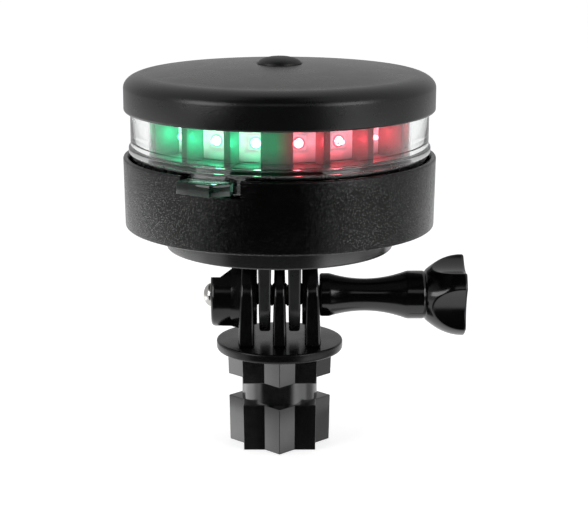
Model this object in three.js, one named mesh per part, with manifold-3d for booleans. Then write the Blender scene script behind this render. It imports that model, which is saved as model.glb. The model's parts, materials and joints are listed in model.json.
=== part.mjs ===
// Portable twin-colour navigation light in a tilting cup on a star-plug adapter.
// Units are millimetres, +Z is up, +X points to the thumb screw and -Y is the front.
// The origin is the centre of the flat lower end of the plug.
import * as THREE from 'three';
import { mergeVertices } from 'three/addons/utils/BufferGeometryUtils.js';
import Module from 'manifold-3d';

const wasm = await Module();
wasm.setup();

// ---------- overall heights, measured from the tilt axis ----------
const AXIS_HEIGHT = 31.0;
const FLANGE_TOP = -9.25;
const FLANGE_BOTTOM = -11.25;
const SHORT_STAR_BOTTOM = -16.8;
const LONG_STAR_TOP = -21.4;
const PLUG_BOTTOM = -AXIS_HEIGHT;
const MOUNT_DISC_BOTTOM = 10.5;
const CUP_BOTTOM = 15.05;
const CUP_FLOOR_TOP = 17.15;
const CUP_RIM_TOP = 29.1;
const LENS_FLANGE_BOTTOM = 29.95;
const LENS_FLANGE_TOP = 31.1;
const CAP_BOTTOM = 38.15;
const CAP_TOP = 47.3;

// ---------- fits ----------
const EASY_FIT = 0.15;
const CLOSE_FIT = 0.05;
const MOVING_GAP = 0.2;
const MERGE = 1.0;

// ---------- smoothness ----------
const FINE = 52;
const MEDIUM = 36;
const COARSE = 20;
const TINY = 10;
const ARC_STEPS = 4;
const ROUND_STEPS = 3;
const BELL_STEPS = 5;
const WAIST_STEPS = 9;
const WELD = 1e-4;

// ---------- plug adapter ----------
const FLANGE_RADIUS = 12.92;
const FLANGE_ROUND = 0.55;
const STAR_POINTS = 8;
const SHORT_STAR_RADIUS = 10.75;
const LONG_STAR_RADIUS = 10.5;
const STAR_VALLEY_SHARE = Math.cos(Math.PI / 4) / Math.cos(Math.PI / 8);
const STAR_DRAFT = 0.982;
const STAR_BEVEL = 0.45;
const NECK_RADIUS = 7.73;
const PRONG_HALF_WIDTH = 7.4;
const PRONG_HEAD_RADIUS = 7.5;
const OUTER_PRONG_FOOT_INNER = 5.1;
const OUTER_PRONG_FOOT_OUTER = 8.38;
const OUTER_PRONG_HEAD_INNER = 5.35;
const OUTER_PRONG_HEAD_OUTER = 7.7;
const MIDDLE_PRONG_FOOT_HALF = 1.43;
const MIDDLE_PRONG_HEAD_HALF = 1.05;
const PRONG_BEVEL = 0.55;
const PAD_RADIUS = 6.2;
const PAD_FACE = 4.6;
const SCREW_HOLE_RADIUS = 2.6;
const BOSS_END = 13.9;
const BOSS_RADIUS = 6.4;
const BOSS_SHOULDER = 9.7;
const BOSS_FLAT_HEIGHT = 3.43;
const BOSS_FLAT_TILT = 15;
const BOSS_RAMP_START = 11.98;
const BOSS_RAMP_HEIGHT = 5.2;
const BOSS_ROUND = 0.9;

// ---------- insert, stud and knob ----------
const INSERT_RADIUS = 3.1;
const INSERT_LENGTH = 4.0;
const INSERT_POCKET_DEPTH = 4.3;
const INSERT_RECESS = 0.2;
const STUD_RADIUS = 2.45;
const THREAD_RADIUS = 2.5;
const STUD_TIP = 15.55;
const STUD_TIP_DOME = 1.7;
const STUD_END = 24.0;
const KNOB_BORE_END = 24.3;
const KNOB_START = 8.15;
const KNOB_END = 37.7;
const KNOB_BARREL_RADIUS = 4.42;
const KNOB_BARREL_EDGE = 0.5;
const KNOB_WAIST_RADIUS = 3.31;
const KNOB_WAIST_PLACE = 17.3;
const KNOB_WAIST_CURVE = 0.0215;
const KNOB_COLLAR_RADIUS = 4.92;
const KNOB_BELL_START = 29.5;
const KNOB_BELL_RADIUS = 8.35;
const KNOB_BELL_EDGE = 0.6;
const KNOB_WINGS = 4;
const KNOB_WING_TURN = 12.65;
const KNOB_SCALLOP_RADIUS = 11.0;
const KNOB_SCALLOP_FLOOR = 6.05;

// ---------- cup and finger mount ----------
const CUP_RADIUS = 31.25;
const CUP_FOOT_RADIUS = 31.03;
const CUP_FOOT_ROUND = 0.5;
const CUP_INNER_RADIUS = 30.0;
const CUP_LIP_RADIUS = 30.4;
const CUP_RIM_ROUND = 0.8;
const CUP_INNER_CORNER = 1.5;
const MOUNT_DISC_RADIUS = 22.86;
const MOUNT_DISC_EDGE = 0.35;
const FINGER_PITCH = 3.0;
const FINGER_ROOT_HALF = 1.37;
const FINGER_TIP_HALF = 1.12;
const FINGER_HEAD_RADIUS = 7.5;
const FINGER_BEVEL = 0.4;
const FINGER_HOLE_RADIUS = 2.65;
const CUP_SCREW_COUNT = 3;
const CUP_SCREW_CIRCLE = 15.0;
const CUP_SCREW_RADIUS = 1.5;
const CUP_SCREW_HEAD_RADIUS = 2.8;
const CUP_SCREW_HEAD = 1.4;
const CUP_SCREW_TIP = 11.8;
const CUP_SCREW_SLOT = 0.7;
const CUP_SCREW_SLOT_WIDTH = 0.8;
const SCREW_SLOT_LENGTH = 10.0;

// ---------- light unit ----------
const LENS_RADIUS = 29.72;
const LENS_INNER_RADIUS = 26.4;
const LENS_TOP = 40.4;
const LENS_FLANGE_RADIUS = 30.12;
const LENS_FLANGE_EDGE = 0.25;
const LENS_SKIRT_RADIUS = 29.5;
const LENS_SKIRT_INNER = 28.55;
const LENS_SKIRT_BOTTOM = 25.4;
const TAB_TOP = 28.55;
const TAB_BOTTOM = 26.1;
const TAB_ROOT_RADIUS = 28.9;
const TAB_NOSE_RADIUS = 33.8;
const TAB_NOSE_ANGLE = 22.3;
const TAB_CORNER_RADIUS = 33.1;
const TAB_CORNER_ANGLE = 35.7;
const TAB_RAMP_RADIUS = 31.0;
const TAB_RAMP_ANGLE = 17.0;
const NOTCH_MARGIN_ANGLE = 0.9;
const NOTCH_END_ANGLE = 13.4;
const NOTCH_MARGIN_BELOW = 0.4;
const NOTCH_OUTER_RADIUS = 32.4;
const NOTCH_INNER_RADIUS = 29.0;
const CAP_RADIUS = 31.0;
const CAP_FOOT_ROUND = 1.3;
const CAP_SHOULDER_HEIGHT = 42.73;
const CAP_SHOULDER_RADIUS = 26.5;
const CAP_SHOULDER_TOP = 45.47;
const CAP_INNER_RADIUS = 29.87;
const CAP_CEILING = 43.6;
const CAP_CEILING_CENTRE = 45.4;
const CAP_CORNER = 1.2;
const CAP_BUTTON_HOLE = 3.2;
const CAP_BUTTON_SEAT_RADIUS = 4.5;
const CAP_BUTTON_SEAT = 46.1;
const BUTTON_RADIUS = 4.35;
const BUTTON_TOP = 48.6;
const BUTTON_EDGE = 47.45;
const BUTTON_SKIRT_BOTTOM = 47.2;
const BUTTON_STEM_RADIUS = 3.0;
const BUTTON_STEM_BOTTOM = 44.15;
const BUTTON_TRAVEL_GAP = 46.95;
const DOME_STEPS = 4;

const BAY_TURN = -1.1;
const BAY_PITCH = 20;
const FIN_COUNT = 13;
const FIN_THICKNESS = 1.35;
const CENTRE_FIN_THICKNESS = 5.8;
const CENTRE_FIN_INNER_RADIUS = 22.6;
const FIN_INNER_RADIUS = 21.95;
const FIN_OUTER_RADIUS = 26.15;
const CARRIER_FLOOR_BOTTOM = 30.0;
const CARRIER_FLOOR_TOP = 30.85;
const CARRIER_DRUM_RADIUS = 21.1;
const CARRIER_DRUM_INNER = 19.9;
const CARRIER_TOP = 40.9;
const FIN_TOP = 39.6;
const STRIP_OUTER_RADIUS = 21.55;
const STRIP_BOTTOM = 31.0;
const STRIP_TOP = 39.4;
const LED_COUNT = 6;
const LED_HEIGHT = 34.9;
const LED_WIDTH = 2.8;
const LED_TALL = 2.8;
const LED_DEPTH = 0.8;
const BOARD_RADIUS = 21.0;
const BOARD_THICKNESS = 1.0;
const SWITCH_SIDE = 5.0;
const SWITCH_BODY = 1.0;
const SWITCH_CAP_RADIUS = 1.4;
const SWITCH_CAP_TOP = 43.0;

const BASE_RADIUS = 28.4;
const BASE_INNER_RADIUS = 27.5;
const BASE_BOTTOM = 17.45;
const BASE_FLOOR_TOP = 18.45;
const BASE_TOP = 29.85;
const BASE_FOOT_ROUND = 0.9;
const BASE_GROOVE_LOW = 26.5;
const BASE_GROOVE_HIGH = 27.7;
const BASE_GROOVE_RADIUS = 27.95;
const SEAL_INNER_RADIUS = 28.0;
const SEAL_OUTER_RADIUS = 28.5;
const POST_OFFSET = 21.6;
const POST_RADIUS = 3.3;
const POST_TOP = 22.0;
const POST_SPLIT = 22.15;
const POST_HOLE = 1.6;
const PILOT_HOLE = 1.55;
const BASE_SCREW_RADIUS = 1.45;
const BASE_SCREW_HEAD_RADIUS = 2.5;
const BASE_SCREW_HEAD_BOTTOM = 17.75;
const BASE_SCREW_HEAD_TOP = 19.2;
const BASE_SCREW_SEAT = 19.3;
const BASE_SCREW_SEAT_RADIUS = 2.7;
const BASE_SCREW_TIP = 28.0;
const CELL_RADIUS = 5.2;
const CELL_LENGTH = 42.6;
const CELL_NUB_RADIUS = 1.9;
const CELL_NUB = 1.2;
const CELL_PITCH = 10.6;
const CELL_HEIGHT = 23.95;
const CELL_COUNT = 3;
const CONTACT_THICKNESS = 0.4;
const CONTACT_OFFSET = 22.75;
const CONTACT_HALF_SPAN = 14.6;
const CONTACT_LOW = 19.3;
const CONTACT_HIGH = 28.6;
const CAP_SEAL_INNER = 27.2;
const CAP_SEAL_OUTER = 29.4;
const CAP_SEAL_BOTTOM = 40.55;
const CAP_SEAL_TOP = 41.6;
const CAP_RIB_INNER = 26.2;
const CAP_RIB_OUTER = 29.5;
const CAP_RIB_BOTTOM = 41.75;

// ---------- finishes ----------
const MATERIALS = {
  mouldedBlack: { color: 0x1b1c1d, roughness: 0.42, metalness: 0 },
  glossBlack: { color: 0x0c0c0d, roughness: 0.2, metalness: 0 },
  cupBlack: { color: 0x161717, roughness: 0.7, metalness: 0 },
  discGrey: { color: 0x2c2d2e, roughness: 0.45, metalness: 0 },
  capGrey: { color: 0x3a3b3c, roughness: 0.5, metalness: 0 },
  rubber: { color: 0x1a1c1c, roughness: 0.75, metalness: 0 },
  clear: { color: 0xf2f6f6, roughness: 0.05, metalness: 0, transparent: true, opacity: 0.3 },
  white: { color: 0xf1f1ee, roughness: 0.55, metalness: 0 },
  steel: { color: 0xb9bcbf, roughness: 0.22, metalness: 1 },
  board: { color: 0x14552f, roughness: 0.45, metalness: 0 },
  cell: { color: 0x53585e, roughness: 0.35, metalness: 0.6 },
  nickel: { color: 0xc9c7bf, roughness: 0.3, metalness: 1 },
  green: { color: 0x2df08c, roughness: 0.3, metalness: 0 },
  red: { color: 0xff3d4a, roughness: 0.3, metalness: 0 },
};

// ---------- solids ----------
const radians = THREE.MathUtils.degToRad;

function signedVolume(vertices, triangles) {
  const a = new THREE.Vector3();
  const b = new THREE.Vector3();
  const c = new THREE.Vector3();
  let volume = 0;
  for (let i = 0; i < triangles.length; i += 3) {
    a.fromArray(vertices, triangles[i] * 3);
    b.fromArray(vertices, triangles[i + 1] * 3);
    c.fromArray(vertices, triangles[i + 2] * 3);
    volume += a.dot(b.cross(c));
  }
  return volume;
}

// Turns a closed three.js geometry into a solid with its faces pointing out.
function solid(geometry) {
  geometry.deleteAttribute('normal');
  geometry.deleteAttribute('uv');
  const merged = mergeVertices(geometry, WELD);
  const vertices = merged.attributes.position.array;
  const triangles = [];
  const index = merged.index.array;
  for (let i = 0; i < index.length; i += 3) {
    const [p, q, r] = [index[i], index[i + 1], index[i + 2]];
    if (p !== q && q !== r && r !== p) triangles.push(p, q, r);
  }
  if (signedVolume(vertices, triangles) < 0) triangles.reverse();
  return new wasm.Manifold(new wasm.Mesh({
    numProp: 3,
    vertProperties: new Float32Array(vertices),
    triVerts: new Uint32Array(triangles),
  }));
}

// Solid of revolution about Z from [radius, height] points.
function turned(points, sides) {
  const profile = points.map(([r, z]) => new THREE.Vector2(r, z));
  const first = profile[0];
  const last = profile[profile.length - 1];
  if (first.x > 0 || last.x > 0) profile.push(first.clone());
  const geometry = new THREE.LatheGeometry(profile, sides);
  geometry.rotateX(Math.PI / 2);
  return solid(geometry);
}

// Solid of revolution about X from [x, radius] points.
function turnedAlongX(points, sides) {
  const profile = points.map(([x, r]) => new THREE.Vector2(r, x));
  const geometry = new THREE.LatheGeometry(profile, sides);
  geometry.rotateZ(-Math.PI / 2);
  return solid(geometry);
}

function disc(radius, low, high, sides = MEDIUM) {
  return turned([[0, low], [radius, low], [radius, high], [0, high]], sides);
}

function ring(inner, outer, low, high, sides = FINE) {
  return turned([[inner, low], [outer, low], [outer, high], [inner, high]], sides);
}

function rod(radius, start, end, sides = COARSE) {
  return turnedAlongX([[start, 0], [start, radius], [end, radius], [end, 0]], sides);
}

function block(width, depth, height, x, y, z) {
  const geometry = new THREE.BoxGeometry(width, depth, height);
  geometry.translate(x, y, z);
  return solid(geometry);
}

// Points of an arc, from one angle in degrees to another, both ends included.
function arc(cx, cy, radius, from, to, steps = ARC_STEPS) {
  const points = [];
  for (let i = 0; i <= steps; i += 1) {
    const angle = radians(from + (to - from) * i / steps);
    points.push([cx + radius * Math.cos(angle), cy + radius * Math.sin(angle)]);
  }
  return points;
}

function outline(points) {
  return new THREE.Shape(points.map(([x, y]) => new THREE.Vector2(x, y)));
}

// Upright prism between two heights, with an optional bevel on both ends.
function prism(points, low, high, bevel = 0) {
  const geometry = new THREE.ExtrudeGeometry(outline(points), {
    depth: high - low - 2 * bevel,
    bevelEnabled: bevel > 0,
    bevelThickness: bevel,
    bevelSize: bevel,
    bevelOffset: -bevel,
    bevelSegments: 1,
  });
  geometry.translate(0, 0, low + bevel);
  return solid(geometry);
}

// Plate cut from a [y, z] outline and running along X, with bevelled edges.
function plate(points, start, end, bevel) {
  const geometry = new THREE.ExtrudeGeometry(outline(points), {
    depth: end - start - 2 * bevel,
    bevelEnabled: bevel > 0,
    bevelThickness: bevel,
    bevelSize: bevel,
    bevelOffset: -bevel,
    bevelSegments: 1,
  });
  const yAxis = new THREE.Vector3(0, 1, 0);
  const zAxis = new THREE.Vector3(0, 0, 1);
  const xAxis = new THREE.Vector3(1, 0, 0);
  geometry.applyMatrix4(new THREE.Matrix4().makeBasis(yAxis, zAxis, xAxis));
  geometry.translate(start + bevel, 0, 0);
  return solid(geometry);
}

// Plate along X whose two faces lean: [start, end] at the low level and at the high level.
function draftedPlate(points, low, high, lowFaces, highFaces, bevel) {
  const [start, end] = lowFaces;
  return plate(points, start, end, bevel).warp((vertex) => {
    const share = (vertex[2] - low) / (high - low);
    const across = (vertex[0] - start) / (end - start);
    const near = start + (highFaces[0] - start) * share;
    const far = end + (highFaces[1] - end) * share;
    vertex[0] = near + (far - near) * across;
  });
}

// A point given by its radius and by its angle in degrees left of the front.
function fromFront(radius, angle) {
  const a = radians(angle);
  return [-radius * Math.sin(a), -radius * Math.cos(a)];
}

const group = new THREE.Group();

function toGeometry(manifold) {
  const mesh = manifold.getMesh();
  const geometry = new THREE.BufferGeometry();
  geometry.setAttribute('position', new THREE.BufferAttribute(mesh.vertProperties, mesh.numProp));
  geometry.setIndex(new THREE.BufferAttribute(mesh.triVerts, 1));
  geometry.computeVertexNormals();
  return geometry;
}

// Adds a named piece whose own coordinates are measured from the tilt axis.
function piece(name, manifold, finish) {
  const material = new THREE.MeshStandardMaterial(MATERIALS[finish]);
  const mesh = new THREE.Mesh(toGeometry(manifold), material);
  mesh.name = name;
  mesh.position.z = AXIS_HEIGHT;
  group.add(mesh);
}

// ---------- plug adapter ----------
function star(tip, low, high, bevelled) {
  const points = [];
  const step = Math.PI / STAR_POINTS;
  for (let i = 0; i < 2 * STAR_POINTS; i += 1) {
    const radius = i % 2 === 0 ? tip : tip * STAR_VALLEY_SHARE;
    const angle = i * step;
    points.push([radius * Math.cos(angle), radius * Math.sin(angle)]);
  }
  const geometry = new THREE.ExtrudeGeometry(outline(points), {
    depth: high - low - (bevelled ? 2 * STAR_BEVEL : 0),
    bevelEnabled: bevelled,
    bevelThickness: STAR_BEVEL,
    bevelSize: STAR_BEVEL,
    bevelOffset: -STAR_BEVEL,
    bevelSegments: 1,
  });
  geometry.translate(0, 0, low + (bevelled ? STAR_BEVEL : 0));
  const position = geometry.attributes.position;
  for (let i = 0; i < position.count; i += 1) {
    const share = (high - position.getZ(i)) / (high - low);
    const scale = 1 + (STAR_DRAFT - 1) * share;
    position.setX(i, position.getX(i) * scale);
    position.setY(i, position.getY(i) * scale);
  }
  return solid(geometry);
}

function prongOutline(halfWidth, headRadius, foot) {
  const tangent = THREE.MathUtils.radToDeg(Math.acos(halfWidth / headRadius));
  return [[-halfWidth, foot], [halfWidth, foot], ...arc(0, 0, headRadius, tangent, 180 - tangent, TINY)];
}

function plugAdapter() {
  const flange = turned([
    [0, FLANGE_BOTTOM],
    ...arc(FLANGE_RADIUS - FLANGE_ROUND, FLANGE_BOTTOM + FLANGE_ROUND, FLANGE_ROUND, -90, 0, ROUND_STEPS),
    ...arc(FLANGE_RADIUS - FLANGE_ROUND, FLANGE_TOP - FLANGE_ROUND, FLANGE_ROUND, 0, 90, ROUND_STEPS),
    [0, FLANGE_TOP],
  ], MEDIUM);
  const foot = FLANGE_TOP - MERGE;
  const head = prongOutline(PRONG_HALF_WIDTH, PRONG_HEAD_RADIUS, foot);
  const prong = (lowFaces, highFaces) => draftedPlate(
    head, FLANGE_TOP, PRONG_HEAD_RADIUS, lowFaces, highFaces, PRONG_BEVEL,
  );
  const left = prong(
    [-OUTER_PRONG_FOOT_OUTER, -OUTER_PRONG_FOOT_INNER], [-OUTER_PRONG_HEAD_OUTER, -OUTER_PRONG_HEAD_INNER],
  );
  const right = prong(
    [OUTER_PRONG_FOOT_INNER, OUTER_PRONG_FOOT_OUTER], [OUTER_PRONG_HEAD_INNER, OUTER_PRONG_HEAD_OUTER],
  );
  const middle = prong(
    [-MIDDLE_PRONG_FOOT_HALF, MIDDLE_PRONG_FOOT_HALF], [-MIDDLE_PRONG_HEAD_HALF, MIDDLE_PRONG_HEAD_HALF],
  );
  const padLeft = rod(PAD_RADIUS, -OUTER_PRONG_HEAD_INNER - MERGE, -PAD_FACE, COARSE);
  const padRight = rod(PAD_RADIUS, PAD_FACE, OUTER_PRONG_HEAD_INNER + MERGE, COARSE);
  let boss = turnedAlongX([
    [-BOSS_END, 0],
    [-BOSS_END, BOSS_RADIUS - BOSS_ROUND],
    [-BOSS_END + BOSS_ROUND, BOSS_RADIUS],
    [-BOSS_SHOULDER, BOSS_RADIUS + CLOSE_FIT],
    [-OUTER_PRONG_HEAD_OUTER, PRONG_HEAD_RADIUS - PRONG_BEVEL],
    [-OUTER_PRONG_HEAD_INNER - PRONG_BEVEL, PRONG_HEAD_RADIUS - PRONG_BEVEL],
    [-OUTER_PRONG_HEAD_INNER - PRONG_BEVEL, 0],
  ], MEDIUM);
  const far = 2 * BOSS_END;
  const trim = new THREE.Shape();
  trim.moveTo(-far, BOSS_FLAT_HEIGHT);
  trim.lineTo(-BOSS_RAMP_START, BOSS_FLAT_HEIGHT);
  trim.lineTo(-BOSS_SHOULDER, BOSS_RAMP_HEIGHT);
  trim.lineTo(-BOSS_SHOULDER + BOSS_ROUND, far);
  trim.lineTo(-far, far);
  const trimGeometry = new THREE.ExtrudeGeometry(trim, { depth: far, bevelEnabled: false });
  trimGeometry.rotateX(Math.PI / 2);
  trimGeometry.translate(0, far / 2, 0);
  trimGeometry.rotateX(-radians(BOSS_FLAT_TILT));
  boss = boss.subtract(solid(trimGeometry));
  const pocket = rod(INSERT_RADIUS + CLOSE_FIT, -BOSS_END - MERGE, -BOSS_END + INSERT_POCKET_DEPTH);
  const bore = rod(SCREW_HOLE_RADIUS, -BOSS_END - MERGE, OUTER_PRONG_FOOT_OUTER + MERGE);
  return flange
    .add(star(SHORT_STAR_RADIUS, SHORT_STAR_BOTTOM, FLANGE_BOTTOM + FLANGE_ROUND, false))
    .add(disc(NECK_RADIUS, LONG_STAR_TOP - MERGE, SHORT_STAR_BOTTOM + MERGE))
    .add(star(LONG_STAR_RADIUS, PLUG_BOTTOM, LONG_STAR_TOP, true))
    .add(left).add(right).add(middle).add(padLeft).add(padRight).add(boss)
    .subtract(pocket)
    .subtract(bore);
}

function threadedInsert() {
  const start = -BOSS_END + INSERT_RECESS;
  const sleeve = rod(INSERT_RADIUS, start, start + INSERT_LENGTH);
  return sleeve.subtract(rod(THREAD_RADIUS, start - MERGE, start + INSERT_LENGTH + MERGE));
}

// ---------- thumb screw ----------
function thumbStud() {
  const shoulder = -STUD_TIP + STUD_TIP_DOME;
  const profile = [];
  for (let i = 0; i <= ARC_STEPS; i += 1) {
    const angle = Math.PI / 2 * i / ARC_STEPS;
    profile.push([shoulder - STUD_TIP_DOME * Math.cos(angle), STUD_RADIUS * Math.sin(angle)]);
  }
  profile[0][1] = 0;
  profile.push([STUD_END, STUD_RADIUS], [STUD_END, 0]);
  return turnedAlongX(profile, COARSE);
}

// Barrel, waist and collar of the knob: a shallow curve capped at both ends.
function gripProfile() {
  const points = [
    [KNOB_START, 0],
    [KNOB_START, KNOB_BARREL_RADIUS - KNOB_BARREL_EDGE],
    [KNOB_START + KNOB_BARREL_EDGE, KNOB_BARREL_RADIUS],
  ];
  const leftReach = Math.sqrt((KNOB_BARREL_RADIUS - KNOB_WAIST_RADIUS) / KNOB_WAIST_CURVE);
  const rightReach = Math.sqrt((KNOB_COLLAR_RADIUS - KNOB_WAIST_RADIUS) / KNOB_WAIST_CURVE);
  for (let i = 0; i <= WAIST_STEPS; i += 1) {
    const offset = -leftReach + (leftReach + rightReach) * i / WAIST_STEPS;
    points.push([KNOB_WAIST_PLACE + offset, KNOB_WAIST_RADIUS + KNOB_WAIST_CURVE * offset * offset]);
  }
  return points;
}

function bellProfile() {
  const points = [];
  const edge = KNOB_END - KNOB_BELL_EDGE;
  for (let i = 0; i <= BELL_STEPS; i += 1) {
    const share = i / BELL_STEPS;
    const growth = 1 - (1 - share) * (1 - share);
    points.push([
      KNOB_BELL_START + (edge - KNOB_BELL_START) * share,
      KNOB_COLLAR_RADIUS + (KNOB_BELL_RADIUS - KNOB_COLLAR_RADIUS) * growth,
    ]);
  }
  points.push([KNOB_END, KNOB_BELL_RADIUS - KNOB_BELL_EDGE], [KNOB_END, 0]);
  return points;
}

function thumbKnob() {
  let knob = turnedAlongX([...gripProfile(), ...bellProfile()], MEDIUM);
  const reach = KNOB_SCALLOP_FLOOR + KNOB_SCALLOP_RADIUS;
  for (let i = 0; i < KNOB_WINGS; i += 1) {
    const angle = radians(KNOB_WING_TURN + 360 * i / KNOB_WINGS);
    const cutter = rod(KNOB_SCALLOP_RADIUS, KNOB_BELL_START, KNOB_END + MERGE, FINE);
    knob = knob.subtract(cutter.translate([0, -reach * Math.sin(angle), reach * Math.cos(angle)]));
  }
  return knob.subtract(rod(THREAD_RADIUS, KNOB_START - MERGE, KNOB_BORE_END));
}

// ---------- cup and finger mount ----------
function notchOutline() {
  return [
    fromFront(NOTCH_INNER_RADIUS, NOTCH_END_ANGLE),
    fromFront(NOTCH_OUTER_RADIUS, NOTCH_END_ANGLE),
    fromFront(NOTCH_OUTER_RADIUS, TAB_CORNER_ANGLE + NOTCH_MARGIN_ANGLE),
    fromFront(NOTCH_INNER_RADIUS, TAB_CORNER_ANGLE + NOTCH_MARGIN_ANGLE),
  ];
}

function around(count, radius, place) {
  for (let i = 0; i < count; i += 1) {
    const angle = Math.PI / 2 + 2 * Math.PI * i / count;
    place(radius * Math.cos(angle), radius * Math.sin(angle), i + 1);
  }
}

function cupShell() {
  let cup = turned([
    [0, CUP_BOTTOM],
    ...arc(CUP_FOOT_RADIUS - CUP_FOOT_ROUND, CUP_BOTTOM + CUP_FOOT_ROUND, CUP_FOOT_ROUND, -90, 0),
    [CUP_RADIUS, CUP_RIM_TOP - CUP_RIM_ROUND],
    ...arc(CUP_RADIUS - CUP_RIM_ROUND, CUP_RIM_TOP - CUP_RIM_ROUND, CUP_RIM_ROUND, 0, 90, ROUND_STEPS)
      .slice(1),
    [CUP_INNER_RADIUS, CUP_RIM_TOP - CUP_RIM_ROUND / 2],
    [CUP_INNER_RADIUS, CUP_FLOOR_TOP + CUP_INNER_CORNER],
    [CUP_INNER_RADIUS - CUP_INNER_CORNER, CUP_FLOOR_TOP],
    [0, CUP_FLOOR_TOP],
  ], FINE);
  cup = cup.subtract(prism(notchOutline(), TAB_BOTTOM - NOTCH_MARGIN_BELOW, CUP_RIM_TOP + MERGE));
  around(CUP_SCREW_COUNT, CUP_SCREW_CIRCLE, (x, y) => {
    const hole = disc(CUP_SCREW_RADIUS + EASY_FIT, CUP_BOTTOM - MERGE, CUP_RIM_TOP, TINY);
    const seat = disc(CUP_SCREW_HEAD_RADIUS + EASY_FIT, CUP_FLOOR_TOP - CUP_SCREW_HEAD, CUP_RIM_TOP, COARSE);
    cup = cup.subtract(hole.translate([x, y, 0])).subtract(seat.translate([x, y, 0]));
  });
  return cup;
}

function cupScrew(x, y) {
  const headTop = CUP_FLOOR_TOP - EASY_FIT;
  const headBottom = CUP_FLOOR_TOP - CUP_SCREW_HEAD + CLOSE_FIT;
  const slot = block(SCREW_SLOT_LENGTH, CUP_SCREW_SLOT_WIDTH, CUP_SCREW_SLOT * 2, 0, 0, headTop);
  return turned([
    [0, CUP_SCREW_TIP],
    [CUP_SCREW_RADIUS, CUP_SCREW_TIP],
    [CUP_SCREW_RADIUS, headBottom],
    [CUP_SCREW_HEAD_RADIUS, headBottom],
    [CUP_SCREW_HEAD_RADIUS, headTop - CUP_SCREW_SLOT / 2],
    [CUP_SCREW_HEAD_RADIUS - CUP_SCREW_SLOT / 2, headTop],
    [0, headTop],
  ], COARSE).subtract(slot).translate([x, y, 0]);
}

function mountDisc() {
  const top = CUP_BOTTOM - CLOSE_FIT;
  let mount = turned([
    [0, MOUNT_DISC_BOTTOM],
    [MOUNT_DISC_RADIUS - MOUNT_DISC_EDGE, MOUNT_DISC_BOTTOM],
    [MOUNT_DISC_RADIUS, MOUNT_DISC_BOTTOM + MOUNT_DISC_EDGE],
    [MOUNT_DISC_RADIUS, top - MOUNT_DISC_EDGE],
    [MOUNT_DISC_RADIUS - MOUNT_DISC_EDGE, top],
    [0, top],
  ], FINE);
  around(CUP_SCREW_COUNT, CUP_SCREW_CIRCLE, (x, y) => {
    const hole = disc(CUP_SCREW_RADIUS + CLOSE_FIT, CUP_SCREW_TIP - EASY_FIT, CUP_BOTTOM + MERGE, COARSE);
    mount = mount.subtract(hole.translate([x, y, 0]));
  });
  return mount;
}

// One hinge finger hanging from the disc, on the given side of the middle.
function mountFinger(side) {
  const root = MOUNT_DISC_BOTTOM + MERGE;
  const tangent = THREE.MathUtils.radToDeg(Math.acos(PRONG_HALF_WIDTH / FINGER_HEAD_RADIUS));
  const profile = [
    [PRONG_HALF_WIDTH, root],
    [-PRONG_HALF_WIDTH, root],
    ...arc(0, 0, FINGER_HEAD_RADIUS, 180 + tangent, 360 - tangent, TINY),
  ];
  const centre = side * FINGER_PITCH;
  const finger = draftedPlate(
    profile, MOUNT_DISC_BOTTOM, -FINGER_HEAD_RADIUS,
    [centre - FINGER_ROOT_HALF, centre + FINGER_ROOT_HALF],
    [centre - FINGER_TIP_HALF, centre + FINGER_TIP_HALF], FINGER_BEVEL,
  );
  const above = disc(MOUNT_DISC_RADIUS, MOUNT_DISC_BOTTOM, root + MERGE);
  return finger.subtract(above).subtract(rod(FINGER_HOLE_RADIUS, -FINGER_PITCH * 2, FINGER_PITCH * 2));
}

// ---------- light unit ----------
function lensBody() {
  const body = turned([
    [LENS_SKIRT_INNER, LENS_SKIRT_BOTTOM],
    [LENS_SKIRT_RADIUS, LENS_SKIRT_BOTTOM],
    [LENS_SKIRT_RADIUS, LENS_FLANGE_BOTTOM],
    [LENS_FLANGE_RADIUS - LENS_FLANGE_EDGE, LENS_FLANGE_BOTTOM],
    [LENS_FLANGE_RADIUS, LENS_FLANGE_BOTTOM + LENS_FLANGE_EDGE],
    [LENS_FLANGE_RADIUS, LENS_FLANGE_TOP - LENS_FLANGE_EDGE],
    [LENS_FLANGE_RADIUS - LENS_FLANGE_EDGE, LENS_FLANGE_TOP],
    [LENS_RADIUS, LENS_FLANGE_TOP],
    [LENS_RADIUS, LENS_TOP],
    [LENS_INNER_RADIUS, LENS_TOP],
    [LENS_INNER_RADIUS, LENS_FLANGE_BOTTOM],
    [LENS_SKIRT_INNER, LENS_FLANGE_BOTTOM],
  ], FINE);
  const tab = prism([
    fromFront(TAB_ROOT_RADIUS, TAB_CORNER_ANGLE),
    fromFront(TAB_CORNER_RADIUS, TAB_CORNER_ANGLE),
    fromFront(TAB_NOSE_RADIUS, TAB_NOSE_ANGLE),
    fromFront(TAB_RAMP_RADIUS, TAB_RAMP_ANGLE),
    fromFront(TAB_ROOT_RADIUS, TAB_RAMP_ANGLE),
  ], TAB_BOTTOM, TAB_TOP);
  const core = disc(TAB_ROOT_RADIUS, LENS_SKIRT_BOTTOM, LENS_FLANGE_BOTTOM, FINE);
  return body.add(tab.subtract(core));
}

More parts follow.
